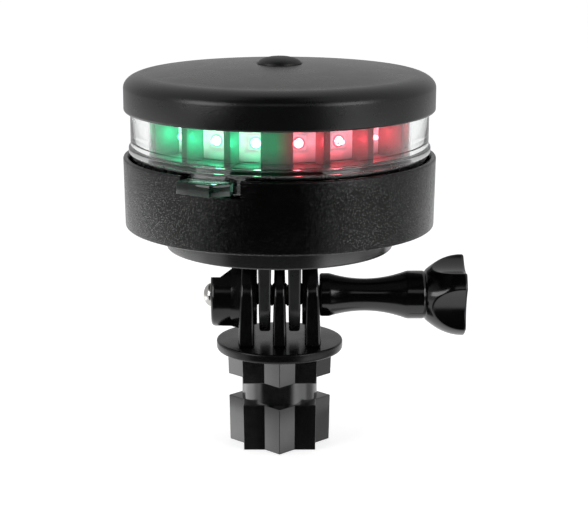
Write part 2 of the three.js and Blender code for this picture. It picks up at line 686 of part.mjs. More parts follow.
function topCap() {
  const domed = [];
  for (let i = 0; i <= DOME_STEPS; i += 1) {
    const radius = CAP_SHOULDER_RADIUS + (CAP_BUTTON_SEAT_RADIUS - CAP_SHOULDER_RADIUS) * i / DOME_STEPS;
    const drop = (CAP_TOP - CAP_SHOULDER_TOP) * Math.pow(radius / CAP_SHOULDER_RADIUS, 2);
    domed.push([radius, CAP_TOP - drop]);
  }
  const shoulder = CAP_SHOULDER_TOP - CAP_SHOULDER_HEIGHT;
  const rounded = [];
  for (let i = 0; i < ARC_STEPS; i += 1) {
    const angle = Math.PI / 2 * i / ARC_STEPS;
    const reach = CAP_RADIUS - CAP_SHOULDER_RADIUS;
    rounded.push([
      CAP_SHOULDER_RADIUS + reach * Math.cos(angle),
      CAP_SHOULDER_HEIGHT + shoulder * Math.sin(angle),
    ]);
  }
  return turned([
    [CAP_INNER_RADIUS, CAP_BOTTOM],
    ...arc(CAP_RADIUS - CAP_FOOT_ROUND, CAP_BOTTOM + CAP_FOOT_ROUND, CAP_FOOT_ROUND, -90, 0),
    ...rounded,
    ...domed,
    [CAP_BUTTON_SEAT_RADIUS, CAP_BUTTON_SEAT],
    [CAP_BUTTON_HOLE, CAP_BUTTON_SEAT],
    [CAP_BUTTON_HOLE, CAP_CEILING_CENTRE],
    [CAP_RIB_INNER - CAP_CORNER, CAP_CEILING],
    [CAP_RIB_INNER, CAP_RIB_BOTTOM],
    [CAP_INNER_RADIUS, CAP_RIB_BOTTOM],
  ], FINE);
}

function topButton() {
  const dome = [];
  for (let i = 0; i <= DOME_STEPS; i += 1) {
    const angle = Math.PI / 2 * i / DOME_STEPS;
    dome.push([
      BUTTON_RADIUS * Math.cos(angle),
      BUTTON_EDGE + (BUTTON_TOP - BUTTON_EDGE) * Math.sin(angle),
    ]);
  }
  dome[DOME_STEPS][0] = 0;
  return turned([
    [0, BUTTON_STEM_BOTTOM],
    [BUTTON_STEM_RADIUS, BUTTON_STEM_BOTTOM],
    [BUTTON_STEM_RADIUS, BUTTON_SKIRT_BOTTOM],
    [BUTTON_RADIUS, BUTTON_SKIRT_BOTTOM],
    ...dome,
  ], COARSE);
}

function ledCarrier() {
  let carrier = disc(FIN_OUTER_RADIUS, CARRIER_FLOOR_BOTTOM, CARRIER_FLOOR_TOP, FINE);
  carrier = carrier.add(ring(
    CARRIER_DRUM_INNER, CARRIER_DRUM_RADIUS, CARRIER_FLOOR_BOTTOM, CARRIER_TOP, FINE,
  ));
  const middle = (FIN_COUNT - 1) / 2;
  for (let i = 0; i < FIN_COUNT; i += 1) {
    const thickness = i === middle ? CENTRE_FIN_THICKNESS : FIN_THICKNESS;
    const inner = i === middle ? CENTRE_FIN_INNER_RADIUS : FIN_INNER_RADIUS;
    const depth = FIN_OUTER_RADIUS - inner;
    const height = FIN_TOP - CARRIER_FLOOR_BOTTOM;
    const fin = block(
      thickness, depth, height, 0, -inner - depth / 2, CARRIER_FLOOR_BOTTOM + height / 2,
    );
    carrier = carrier.add(fin.rotate([0, 0, (i - middle) * BAY_PITCH + BAY_TURN]));
  }
  carrier = carrier.intersect(disc(FIN_OUTER_RADIUS, 0, CAP_TOP, FINE));
  for (const side of [-1, 1]) {
    const post = disc(POST_RADIUS, POST_SPLIT, CARRIER_FLOOR_BOTTOM + CLOSE_FIT, COARSE);
    const pilot = disc(PILOT_HOLE, POST_SPLIT - MERGE, BASE_SCREW_TIP + EASY_FIT, COARSE);
    carrier = carrier.add(post.translate([0, side * POST_OFFSET, 0]));
    carrier = carrier.subtract(pilot.translate([0, side * POST_OFFSET, 0]));
  }
  return carrier;
}

function ledStrip() {
  return ring(CARRIER_DRUM_RADIUS + CLOSE_FIT, STRIP_OUTER_RADIUS, STRIP_BOTTOM, STRIP_TOP, FINE);
}

function led(angle) {
  const chip = block(
    LED_WIDTH, LED_DEPTH, LED_TALL, 0, -STRIP_OUTER_RADIUS - CLOSE_FIT - LED_DEPTH / 2, LED_HEIGHT,
  );
  return chip.rotate([0, 0, angle + BAY_TURN]);
}

function controlBoard() {
  return disc(BOARD_RADIUS, CARRIER_TOP + CLOSE_FIT, CARRIER_TOP + CLOSE_FIT + BOARD_THICKNESS);
}

function tactSwitch() {
  const low = CARRIER_TOP + 2 * CLOSE_FIT + BOARD_THICKNESS;
  const body = block(SWITCH_SIDE, SWITCH_SIDE, SWITCH_BODY, 0, 0, low + SWITCH_BODY / 2);
  return body.add(disc(SWITCH_CAP_RADIUS, low, SWITCH_CAP_TOP + CLOSE_FIT, TINY));
}

function lightBase() {
  let base = turned([
    [0, BASE_BOTTOM],
    ...arc(
      BASE_RADIUS - BASE_FOOT_ROUND, BASE_BOTTOM + BASE_FOOT_ROUND, BASE_FOOT_ROUND, -90, 0, ROUND_STEPS,
    ),
    [BASE_RADIUS, BASE_GROOVE_LOW],
    [BASE_GROOVE_RADIUS, BASE_GROOVE_LOW],
    [BASE_GROOVE_RADIUS, BASE_GROOVE_HIGH],
    [BASE_RADIUS, BASE_GROOVE_HIGH],
    [BASE_RADIUS, BASE_TOP],
    [BASE_INNER_RADIUS, BASE_TOP],
    [BASE_INNER_RADIUS, BASE_FLOOR_TOP],
    [0, BASE_FLOOR_TOP],
  ], FINE);
  for (const side of [-1, 1]) {
    const post = disc(POST_RADIUS, BASE_BOTTOM + CLOSE_FIT, POST_TOP, COARSE);
    const hole = disc(POST_HOLE, BASE_BOTTOM - MERGE, POST_TOP + MERGE, COARSE);
    const seat = disc(BASE_SCREW_SEAT_RADIUS, BASE_BOTTOM - MERGE, BASE_SCREW_SEAT, COARSE);
    base = base.add(post.translate([0, side * POST_OFFSET, 0]));
    base = base.subtract(hole.translate([0, side * POST_OFFSET, 0]));
    base = base.subtract(seat.translate([0, side * POST_OFFSET, 0]));
  }
  return base;
}

function baseScrew(side) {
  const slot = block(
    SCREW_SLOT_LENGTH, CUP_SCREW_SLOT_WIDTH, CUP_SCREW_SLOT * 2, 0, 0, BASE_SCREW_HEAD_BOTTOM,
  );
  return turned([
    [0, BASE_SCREW_HEAD_BOTTOM],
    [BASE_SCREW_HEAD_RADIUS, BASE_SCREW_HEAD_BOTTOM],
    [BASE_SCREW_HEAD_RADIUS, BASE_SCREW_HEAD_TOP],
    [BASE_SCREW_RADIUS, BASE_SCREW_HEAD_TOP],
    [BASE_SCREW_RADIUS, BASE_SCREW_TIP],
    [0, BASE_SCREW_TIP],
  ], COARSE).subtract(slot).translate([0, side * POST_OFFSET, 0]);
}

// Cells lie side by side along X, the middle one facing the other way.
function cell(number) {
  const facing = number % 2 === 0 ? -1 : 1;
  const half = CELL_LENGTH / 2;
  const body = turnedAlongX([
    [-half - CELL_NUB / 2, 0],
    [-half - CELL_NUB / 2, CELL_RADIUS],
    [half - CELL_NUB / 2, CELL_RADIUS],
    [half - CELL_NUB / 2, CELL_NUB_RADIUS],
    [half + CELL_NUB / 2, CELL_NUB_RADIUS],
    [half + CELL_NUB / 2, 0],
  ], COARSE);
  const turn = facing > 0 ? 0 : 180;
  const offset = (number - (CELL_COUNT + 1) / 2) * CELL_PITCH;
  return body.rotate([0, 0, turn]).translate([0, offset, CELL_HEIGHT]);
}

function contactPlate(side) {
  const height = CONTACT_HIGH - CONTACT_LOW;
  return block(
    CONTACT_THICKNESS, 2 * CONTACT_HALF_SPAN, height,
    side * CONTACT_OFFSET, 0, CONTACT_LOW + height / 2,
  );
}

// ---------- assembly ----------
piece('plug_adapter', plugAdapter(), 'mouldedBlack');
piece('threaded_insert', threadedInsert(), 'steel');
piece('thumb_bolt', thumbStud(), 'steel');
piece('thumb_knob', thumbKnob(), 'glossBlack');
piece('cup_shell', cupShell(), 'cupBlack');
piece('mount_disc', mountDisc(), 'discGrey');
piece('mount_finger_left', mountFinger(-1), 'discGrey');
piece('mount_finger_right', mountFinger(1), 'discGrey');
around(CUP_SCREW_COUNT, CUP_SCREW_CIRCLE, (x, y, number) => {
  piece(`cup_screw_${number}`, cupScrew(x, y), 'steel');
});
piece('lens_body', lensBody(), 'clear');
piece('top_cap', topCap(), 'capGrey');
piece('top_button', topButton(), 'rubber');
piece('cap_seal', ring(CAP_SEAL_INNER, CAP_SEAL_OUTER, CAP_SEAL_BOTTOM, CAP_SEAL_TOP), 'rubber');
piece('led_carrier', ledCarrier(), 'mouldedBlack');
piece('led_strip', ledStrip(), 'white');
for (let i = 1; i <= LED_COUNT; i += 1) {
  const angle = (i - 1 / 2) * BAY_PITCH;
  piece(`led_green_${i}`, led(-angle), 'green');
  piece(`led_red_${i}`, led(angle), 'red');
}
piece('control_board', controlBoard(), 'board');
piece('tact_switch', tactSwitch(), 'steel');
piece('light_base', lightBase(), 'glossBlack');
piece('base_seal', ring(SEAL_INNER_RADIUS, SEAL_OUTER_RADIUS, BASE_GROOVE_LOW + EASY_FIT,
  BASE_GROOVE_HIGH - EASY_FIT), 'rubber');
piece('base_screw_front', baseScrew(-1), 'steel');
piece('base_screw_back', baseScrew(1), 'steel');
for (let i = 1; i <= CELL_COUNT; i += 1) {
  piece(`battery_${i}`, cell(i), 'cell');
}
piece('contact_plate_left', contactPlate(-1), 'nickel');
piece('contact_plate_right', contactPlate(1), 'nickel');

export default group;
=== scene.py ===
import bpy
import bmesh
import json
from math import acos, cos, degrees, exp, log, pi, radians, sin, sqrt, tan
from mathutils import Matrix, Vector


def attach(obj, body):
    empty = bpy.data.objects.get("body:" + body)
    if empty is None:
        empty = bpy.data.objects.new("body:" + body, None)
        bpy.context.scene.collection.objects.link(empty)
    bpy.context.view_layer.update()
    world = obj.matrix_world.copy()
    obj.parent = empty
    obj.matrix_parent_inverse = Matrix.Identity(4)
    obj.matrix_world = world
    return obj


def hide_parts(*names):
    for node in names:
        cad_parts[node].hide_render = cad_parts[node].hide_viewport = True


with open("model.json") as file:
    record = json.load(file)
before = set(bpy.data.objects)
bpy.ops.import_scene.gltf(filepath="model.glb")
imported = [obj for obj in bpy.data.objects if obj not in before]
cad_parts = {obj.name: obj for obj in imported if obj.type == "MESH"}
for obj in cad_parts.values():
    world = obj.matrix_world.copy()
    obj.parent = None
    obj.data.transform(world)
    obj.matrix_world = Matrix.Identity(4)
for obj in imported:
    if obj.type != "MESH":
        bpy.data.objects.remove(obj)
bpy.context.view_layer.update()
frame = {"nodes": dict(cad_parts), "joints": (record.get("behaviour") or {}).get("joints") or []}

# Sizes are in millimetres, and heights count from the axis that the light tilts on. That axis runs
# along X, towards the thumb knob, and the front of the light looks along -Y.
MM = 0.001
tilt_joint = next(joint for joint in frame["joints"] if joint["name"] == "lamp_tilt")
AXIS = round(tilt_joint["pos_m"][2] / MM, 3)      # height of the tilt axis above the plug's end
SHARP = 35                                        # degrees at an edge from which it stays sharp
scene = bpy.context.scene
nodes = frame["nodes"]

# ------------------------------------------------------------------ camera
# A picture unit is 1/588 of the picture's width.
PICTURE_WIDTH = 588
FOCAL = 1749.0                   # focal length in picture units
UNIT = 0.2045                    # mm that one picture unit covers at the hinge
ELEVATION = radians(14.25)
HINGE_LEFT, HINGE_BELOW = 14.4, 41.5    # the hinge, from the middle of the picture
SENSOR = 36.0
CLIP_START = 10.0
cam_data = bpy.data.cameras.new("camera")
cam_data.sensor_width = SENSOR
cam_data.sensor_fit = "HORIZONTAL"
cam_data.lens = SENSOR * FOCAL / PICTURE_WIDTH
cam_data.shift_x = HINGE_LEFT / PICTURE_WIDTH
cam_data.shift_y = HINGE_BELOW / PICTURE_WIDTH
cam_data.clip_start = CLIP_START * MM
cam = bpy.data.objects.new("camera", cam_data)
distance = FOCAL * UNIT * MM
cam.location = (0, -distance * cos(ELEVATION), AXIS * MM + distance * sin(ELEVATION))
cam.rotation_euler = (pi / 2 - ELEVATION, 0, 0)
scene.collection.objects.link(cam)
scene.camera = cam
scene.view_settings.view_transform = "Standard"


# ------------------------------------------------------------------ node helpers
class Nodes:
    """A short way to write a node tree."""

    def __init__(self, tree):
        self.tree = tree
        self.coords = None

    def add(self, kind, **values):
        """New node. A value sets a property of the node, or a socket, with _ for a space in its name."""
        node = self.tree.nodes.new("ShaderNode" + kind)
        for key, value in values.items():
            if hasattr(node, key):
                setattr(node, key, value)
            else:
                node.inputs[key.replace("_", " ")].default_value = value
        return node

    def link(self, source, socket):
        self.tree.links.new(source, socket)

    def feed(self, value, socket):
        """Sets a number or a colour on a socket, or links another socket to it."""
        if isinstance(value, (int, float)):
            socket.default_value = value
        elif isinstance(value, tuple):
            socket.default_value = (*value, 1)
        else:
            self.link(value, socket)

    def position(self):
        """Place on the piece, in metres."""
        if self.coords is None:
            self.coords = self.add("TexCoord").outputs["Object"]
        return self.coords

    def noise(self, scale, detail):
        node = self.add("TexNoise", Scale=scale, Detail=detail)
        self.link(self.position(), node.inputs["Vector"])
        return node.outputs["Fac"]

    def cells(self, scale):
        """Distance from the middle of the nearest of many small cells."""
        node = self.add("TexVoronoi", Scale=scale)
        self.link(self.position(), node.inputs["Vector"])
        return node.outputs["Distance"]

    def spread(self, source, low, high, start=0.3, end=0.7):
        """Straight change from low to high while the source runs from start to end."""
        node = self.add("MapRange", From_Min=start, From_Max=end, To_Min=low, To_Max=high)
        self.link(source, node.inputs["Value"])
        return node.outputs["Result"]

    def step(self, source, start, end, low, high):
        """Smooth change from low to high while the source runs from start to end."""
        node = self.add("MapRange", interpolation_type="SMOOTHSTEP", From_Min=start, From_Max=end,
                        To_Min=low, To_Max=high)
        self.link(source, node.inputs["Value"])
        return node.outputs["Result"]

    def tint(self, source, first, second):
        """Colour from the first to the second over the middle of a noise's range."""
        node = self.add("ValToRGB")
        for element, at, colour in zip(node.color_ramp.elements, (0.3, 0.7), (first, second)):
            element.position = at
            element.color = (*colour, 1)
        self.link(source, node.inputs["Fac"])
        return node.outputs["Color"]

    def blend(self, share, first, second):
        """Colour from the first to the second while the share runs from 0 to 1."""
        node = self.add("Mix", data_type="RGBA")
        self.link(share, node.inputs["Factor"])
        self.feed(first, node.inputs[6])
        self.feed(second, node.inputs[7])
        return node.outputs[2]

    def calc(self, operation, *values):
        node = self.add("Math", operation=operation)
        for value, socket in zip(values, node.inputs):
            self.feed(value, socket)
        return node.outputs["Value"]

    def times(self, *factors):
        result = factors[0]
        for factor in factors[1:]:
            result = self.calc("MULTIPLY", result, factor)
        return result

    def bump(self, height, strength, depth):
        node = self.add("Bump", Strength=strength, Distance=depth)
        self.link(height, node.inputs["Height"])
        return node.outputs["Normal"]


def new_material(name, **values):
    """Material with a Principled shader that has the values, its node helpers and the shader."""
    material = bpy.data.materials.new(name)
    material.use_nodes = True
    material.node_tree.nodes.clear()
    n = Nodes(material.node_tree)
    shader = n.add("BsdfPrincipled", **values)
    n.link(shader.outputs["BSDF"], n.add("OutputMaterial").inputs["Surface"])
    return material, n, shader


# ------------------------------------------------------------------ materials
# Noise and cell scales count per metre, and bump depths are in metres.
TONE_SCALE, GLOSS_SCALE, RUB_SCALE = 90, 240, 700
HAZE_SCALE, WAVE_SCALE = 60, 160         # for the clear mouldings
PAINTED_GLOW_NOISE_SCALE, DOME_SCALE, PAPER_SCALE = 350, 1500, 300
EDGE_START, EDGE_FULL = 0.51, 0.6        # pointiness where an edge is rubbed a little, and fully
PIT_END, RIDGE_START = 0.11, 0.31        # from the middle of a stipple cell, in cells
PIT_GLOSS, RIDGE_GLOSS = 2.5, 0.3        # specular level in a cell's pit and on its ridge
STIPPLE_SHARE = 0.9                      # height of the stipple against the fine grain
WAVE_DEPTH = 0.00012
CLEAR_IOR = 1.49


def plastic(name, base, rough, grain=3000, bump=0.25, depth=0.00006, vary=0.12, wear=0.25,
            spread=0.08, metallic=0.0, specular=0.5, stipple=None, wear_colour=None):
    """Moulded or worked surface: fine grain, slow changes of tone and gloss, and lighter rubbed
    edges. A stipple adds cells with a glossy pit and a dull ridge."""
    material, n, shader = new_material(name, Metallic=metallic, Specular_IOR_Level=specular)
    dark = [c * (1 - vary) for c in base]
    light = [min(1, c * (1 + vary)) for c in base]
    colour = n.tint(n.noise(TONE_SCALE, 4), dark, light)
    pointed = n.spread(n.add("NewGeometry").outputs["Pointiness"], 0.0, 1.0, EDGE_START, EDGE_FULL)
    worn = n.times(pointed, n.spread(n.noise(RUB_SCALE, 3), 0.2, 1.0), wear)
    rubbed = wear_colour or tuple(min(1, c * 2.2 + 0.02) for c in base)
    n.link(n.blend(worn, colour, rubbed), shader.inputs["Base Color"])
    gloss = n.spread(n.noise(GLOSS_SCALE, 5), rough - spread, rough + spread)
    n.link(gloss, shader.inputs["Roughness"])
    height = n.noise(grain, 2)
    if stipple:
        pits = n.cells(stipple)
        height = n.calc("ADD", n.calc("MULTIPLY", pits, STIPPLE_SHARE), height)
        level = n.spread(pits, PIT_GLOSS, RIDGE_GLOSS, PIT_END, RIDGE_START)
        n.link(level, shader.inputs["Specular IOR Level"])
    n.link(n.bump(height, bump, depth), shader.inputs["Normal"])
    return material


def clear_plastic(name, tint):
    """Clear moulding: polished, with faint waves in its surface."""
    material, n, shader = new_material(name, Base_Color=(*tint, 1), Transmission_Weight=1.0,
                                       IOR=CLEAR_IOR)
    n.link(n.spread(n.noise(HAZE_SCALE, 3), 0.005, 0.035), shader.inputs["Roughness"])
    n.link(n.bump(n.noise(WAVE_SCALE, 2), 0.12, WAVE_DEPTH), shader.inputs["Normal"])
    return material


def glowing(name, colour, pale, strength):
    """Lit dome of a chip, whose glow varies a little between a pale and the full colour."""
    material, n, shader = new_material(name, Base_Color=(*colour, 1), Roughness=0.25,
                                       Emission_Strength=strength)
    n.link(n.tint(n.noise(DOME_SCALE, 1), pale, colour), shader.inputs["Emission Color"])
    return material


adapter_mat = plastic("adapter_plastic", (0.0022, 0.0022, 0.0024), 0.17, grain=3500, bump=0.12,
                      depth=0.00003, wear=0.3, spread=0.05, specular=1.0)
flange_mat = plastic("flange_plastic", (0.0022, 0.0022, 0.0024), 0.26, grain=3500, bump=0.2,
                     depth=0.00004, wear=0.3, spread=0.05, specular=0.3)
prong_mat = plastic("prong_plastic", (0.0012, 0.0012, 0.0014), 0.17, grain=3000, bump=0.07,
                    depth=0.00003, wear=0.25, spread=0.05)
knob_mat = plastic("knob_plastic", (0.0012, 0.0012, 0.0016), 0.14, grain=900, bump=0.04,
                   depth=0.00004, wear=0.2, spread=0.04, specular=0.65)
cup_mat = plastic("cup_plastic", (0.001, 0.001, 0.001), 0.19, grain=5200, bump=0.55,
                  depth=0.00007, wear=0.15, stipple=3700, spread=0.04)
disc_mat = plastic("disc_plastic", (0.012, 0.0122, 0.0122), 0.22, grain=3200, bump=0.2,
                   depth=0.00004, wear=0.2, specular=0.75, spread=0.03)
finger_mat = plastic("finger_plastic", (0.012, 0.0122, 0.0125), 0.3, grain=3200, bump=0.12,
                     depth=0.00003, wear=0.2)
cap_mat = plastic("cap_plastic", (0.002, 0.0021, 0.0021), 0.28, grain=3600, bump=0.5,
                  depth=0.00005, wear=0.08, spread=0.015)
rubber_mat = plastic("button_rubber", (0.002, 0.0021, 0.0021), 0.45, grain=5200, bump=0.25,
                     depth=0.00004, wear=0.1)
seal_mat = plastic("seal_rubber", (0.01, 0.01, 0.01), 0.5, grain=2400, bump=0.2, wear=0.0)
carrier_mat = plastic("carrier_plastic", (0.022, 0.022, 0.022), 0.5, grain=3400, bump=0.3,
                      wear=0.2, specular=0.08)
base_mat = plastic("base_plastic", (0.006, 0.006, 0.0065), 0.25, grain=3000, bump=0.12, wear=0.2)
white_mat = plastic("white_strip", (0.085, 0.085, 0.083), 0.45, grain=2600, bump=0.08, wear=0.0,
                    vary=0.02, spread=0.05)
board_mat = plastic("board_coating", (0.015, 0.12, 0.05), 0.35, grain=1800, bump=0.2, wear=0.4,
                    wear_colour=(0.55, 0.5, 0.3))
cell_mat = plastic("cell_jacket", (0.09, 0.1, 0.12), 0.3, grain=500, bump=0.1, metallic=0.5,
                   wear=0.6, wear_colour=(0.6, 0.6, 0.6))
steel_mat = plastic("steel", (0.56, 0.55, 0.53), 0.2, grain=1600, bump=0.08, depth=0.00003,
                    metallic=1.0, vary=0.06, wear=0.2)
contact_mat = plastic("contact_metal", (0.66, 0.64, 0.58), 0.28, grain=1400, bump=0.12,
                      metallic=1.0, vary=0.08, wear=0.2)
lens_mat = clear_plastic("clear_lens", (0.9, 0.915, 0.91))
# The green in the tab's dark tint is painted light: it stands in for the light of the green chips on the
# tab.
green_lit_tab_mat = clear_plastic("clear_tab", (0.05, 0.13, 0.09))
green_mat = glowing("green_led", (0.1, 1.0, 0.3), (0.8, 1.0, 0.82), 22.0)
green_halo = glowing("green_halo", (0.16, 1.0, 0.34), (0.38, 1.0, 0.5), 1.1)
red_mat = glowing("red_led", (1.0, 0.05, 0.1), (1.0, 0.6, 0.62), 9.0)
red_halo = glowing("red_halo", (1.0, 0.05, 0.09), (1.0, 0.2, 0.25), 1.3)

# Painted light: an emission glow that stands in for the light of the chips on the carrier and the white
# strip.
SPLIT_START, SPLIT_END = -0.7, 2.4       # X where green starts to turn red, and where it is red
PAINTED_GLOW_HEIGHT = 35.6                    # height where the painted glow of the chips is strongest
PAINTED_GLOW_FULL, PAINTED_GLOW_FAR = 1.0, 4.6     # up and down from there: still full, and weakest
PAINTED_GLOW_REST = 0.06                      # share that is left beyond


def paint_chip_glow(material, strength, green, red):
    """Painted glow: emission that stands in for the light of the chips on a part, green to the left, red
    to the right, strongest at about the height of the chips."""
    n = Nodes(material.node_tree)
    shader = next(node for node in n.tree.nodes if node.type == "BSDF_PRINCIPLED")
    split = n.add("SeparateXYZ")
    n.link(n.position(), split.inputs[0])
    side = n.spread(split.outputs["X"], 0.0, 1.0, SPLIT_START * MM, SPLIT_END * MM)
    n.link(n.blend(side, green, red), shader.inputs["Emission Color"])
    away = n.calc("ABSOLUTE", n.calc("SUBTRACT", split.outputs["Z"], (AXIS + PAINTED_GLOW_HEIGHT) * MM))
    near = n.spread(away, 1.0, PAINTED_GLOW_REST, PAINTED_GLOW_FULL * MM, PAINTED_GLOW_FAR * MM)
    uneven = n.spread(n.noise(PAINTED_GLOW_NOISE_SCALE, 2), 0.8, 1.2)
    n.link(n.times(near, uneven, strength), shader.inputs["Emission Strength"])


# Painted light: the carrier and the white strip glow green and red as if lit by the chips; they are no
# lamps.
paint_chip_glow(carrier_mat, 0.58, (0.0, 0.38, 0.13), (0.38, 0.03, 0.04))
paint_chip_glow(white_mat, 0.9, (0.95, 1.0, 0.95), (0.9, 0.38, 0.46))


# ------------------------------------------------------------------ mesh helpers
MOST_OF_EDGE = 0.49              # share of an edge that the rounding of one corner may take
LEVEL_SLACK = 0.01
MERGE_DISTANCE = 1e-7            # metres


def place(a, b, h, along):
    """Point in metres: along Z, h is the height; along X, h is the place on the tilt axis."""
    if along == "Z":
        return Vector((a, b, h + AXIS)) * MM
    return Vector((h, a, b + AXIS)) * MM


def arc(radius, start, end, steps):
    """Points on a circle around the middle, with angles in degrees."""
    turns = [radians(start + (end - start) * k / steps) for k in range(steps + 1)]
    return [(radius * cos(turn), radius * sin(turn)) for turn in turns]


def from_front(radius, angle):
    """Point at an angle in degrees from the front, to the left of it as the camera sees it."""
    return (-radius * sin(radians(angle)), -radius * cos(radians(angle)))


def soft_corner(before, here, after, radius, steps):
    """Points of the soft curve that takes the place of a corner."""
    back, ahead = before - here, after - here
    reach = min(radius / tan(back.angle(ahead) / 2), back.length * MOST_OF_EDGE,
                ahead.length * MOST_OF_EDGE)
    start = here + back.normalized() * reach
    end = here + ahead.normalized() * reach
    curve = []
    for k in range(steps + 1):
        t = k / steps
        at = start * (1 - t) ** 2 + here * 2 * t * (1 - t) + end * t ** 2
        curve.append((at.x, at.y))
    return curve


def rounded(points, steps):
    """Rounds the corners of an open outline. Each point is (a, b) or (a, b, radius)."""
    out = []
    for i, point in enumerate(points):
        if len(point) == 3 and 0 < i < len(points) - 1:
            before, here, after = (Vector(p[:2]) for p in points[i - 1:i + 2])
            out += soft_corner(before, here, after, point[2], steps)
        else:
            out.append((point[0], point[1]))
    return out


def finish_mesh(name, bm, material, sharp=SHARP):
    bmesh.ops.remove_doubles(bm, verts=bm.verts, dist=MERGE_DISTANCE)
    bmesh.ops.recalc_face_normals(bm, faces=bm.faces)
    mesh = bpy.data.meshes.new(name)
    bm.to_mesh(mesh)
    bm.free()
    mesh.polygons.foreach_set("use_smooth", [True] * len(mesh.polygons))
    mesh.set_sharp_from_angle(angle=radians(sharp))
    mesh.materials.append(material)
    obj = bpy.data.objects.new(name, mesh)
    scene.collection.objects.link(obj)
    return obj


def skin(bm, one, two):
    """Faces between two rings of vertices; a ring of one vertex is a point on the axis."""
    sides = max(len(one), len(two))
    for k in range(sides):
        j = (k + 1) % sides
        if len(one) == 1 and len(two) == 1:
            continue
        if len(one) == 1:
            bm.faces.new((one[0], two[j], two[k]))
        elif len(two) == 1:
            bm.faces.new((one[k], one[j], two[0]))
        else:
            bm.faces.new((one[k], one[j], two[j], two[k]))


def lathe(name, points, material, sides=192, along="Z", sharp=SHARP):
    """Surface of revolution from (radius, height) points, closed on the axis or on itself."""
    bm = bmesh.new()
    rings = []
    for radius, height in points:
        if radius:
            turns = [2 * pi * k / sides for k in range(sides)]
            rings.append([bm.verts.new(place(radius * cos(a), radius * sin(a), height, along))
                          for a in turns])
        else:
            rings.append([bm.verts.new(place(0, 0, height, along))])
    if points[0][0] or points[-1][0]:
        rings.append(rings[0])
    for one, two in zip(rings, rings[1:]):
        skin(bm, one, two)
    return finish_mesh(name, bm, material, sharp)


def rod(name, radius, low, high, material, sides, along="Z"):
    """Plain round bar, mostly the tool of a cut."""
    return lathe(name, [(0, low), (radius, low), (radius, high), (0, high)], material, sides, along)


def prism_bm(outline, low, high, along="Z", scale_low=1.0):
    """Straight prism from an outline; along X the outline is (y, height)."""
    bm = bmesh.new()
    bottom = [bm.verts.new(place(x * scale_low, y * scale_low, low, along)) for x, y in outline]
    top = [bm.verts.new(place(x, y, high, along)) for x, y in outline]
    bm.faces.new(list(reversed(bottom)))
    bm.faces.new(top)
    skin(bm, bottom, top)
    bmesh.ops.recalc_face_normals(bm, faces=bm.faces)
    return bm


def lean(bm, low, high, low_faces, high_faces):
    """Moves the two end faces of a prism along X so that they slant between two heights."""
    for v in bm.verts:
        share = (v.co.z / MM - AXIS - low) / (high - low)
        across = (v.co.x / MM - low_faces[0]) / (low_faces[1] - low_faces[0])
        near = low_faces[0] + (high_faces[0] - low_faces[0]) * share
        far = low_faces[1] + (high_faces[1] - low_faces[1]) * share
        v.co.x = (near + (far - near) * across) * MM
    return bm


def round_edges(bm, edges, width, segments):
    bmesh.ops.bevel(bm, geom=edges, offset=width * MM, segments=segments, profile=0.5,
                    affect="EDGES", clamp_overlap=True)
    return bm


def at_height(edge, height):
    """True for an edge that lies level at a height."""
    return all(abs(v.co.z / MM - AXIS - height) < LEVEL_SLACK for v in edge.verts)


def bevelled(bm, width, segments, limit):
    """Rounds every edge sharper than a limit in degrees."""
    edges = [e for e in bm.edges if len(e.link_faces) == 2 and e.calc_face_angle(0) > radians(limit)]
    return round_edges(bm, edges, width, segments)


def bevel_later(obj, name, width, segments, limit):
    """Bevel modifier on every edge sharper than a limit in degrees."""
    modifier = obj.modifiers.new(name, "BEVEL")
    modifier.width = width * MM
    modifier.segments = segments
    modifier.limit_method = "ANGLE"
    modifier.angle_limit = radians(limit)


def turned(bm, angle):
    bmesh.ops.rotate(bm, verts=bm.verts, cent=(0, 0, 0), matrix=Matrix.Rotation(radians(angle), 3, "Z"))
    return bm


def moved(obj, x, y):
    """Shifts the mesh itself, so that the object stays at the origin."""
    for v in obj.data.vertices:
        v.co += Vector((x, y, 0)) * MM
    return obj


def join(name, parts):
    """One object from several, with all their materials."""
    for other in bpy.context.selected_objects:
        other.select_set(False)
    for part in parts:
        part.select_set(True)
    bpy.context.view_layer.objects.active = parts[0]
    bpy.ops.object.join()
    parts[0].name = name
    parts[0].data.name = name
    parts[0].select_set(False)
    return parts[0]


def boolean(target, tool, operation="DIFFERENCE"):
    """Cuts or joins with an exact boolean, applies it and removes the tool."""
    modifier = target.modifiers.new("cut", "BOOLEAN")
    modifier.operation = operation
    modifier.solver = "EXACT"
    modifier.object = tool
    bpy.context.view_layer.update()
    evaluated = target.evaluated_get(bpy.context.evaluated_depsgraph_get())
    mesh = bpy.data.meshes.new_from_object(evaluated)
    target.modifiers.clear()
    target.data = mesh
    mesh.set_sharp_from_angle(angle=radians(SHARP))
    bpy.data.objects.remove(tool)
    return target


def show(obj, body, slot, *cad):
    """Stands for CAD nodes and rides on a body. The finish slot is not used."""
    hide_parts(*cad)
    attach(obj, body)
    return obj


# ------------------------------------------------------------------ prongs and fingers
# Both are flat tongues with a round end about the tilt axis.
TONGUE_R, TONGUE_HALF = 7.5, 7.4
TONGUE_STEPS = 28


def tongue(root):
    """Outline in (y, height) from a root below the axis, or above it, to the round end."""
    below = root < 0
    half = TONGUE_HALF if below else -TONGUE_HALF
    tangent = degrees(acos(TONGUE_HALF / TONGUE_R))
    start = tangent if below else 180 + tangent
    end = 180 - tangent if below else 360 - tangent
    return [(-half, root), (half, root)] + arc(TONGUE_R, start, end, TONGUE_STEPS)


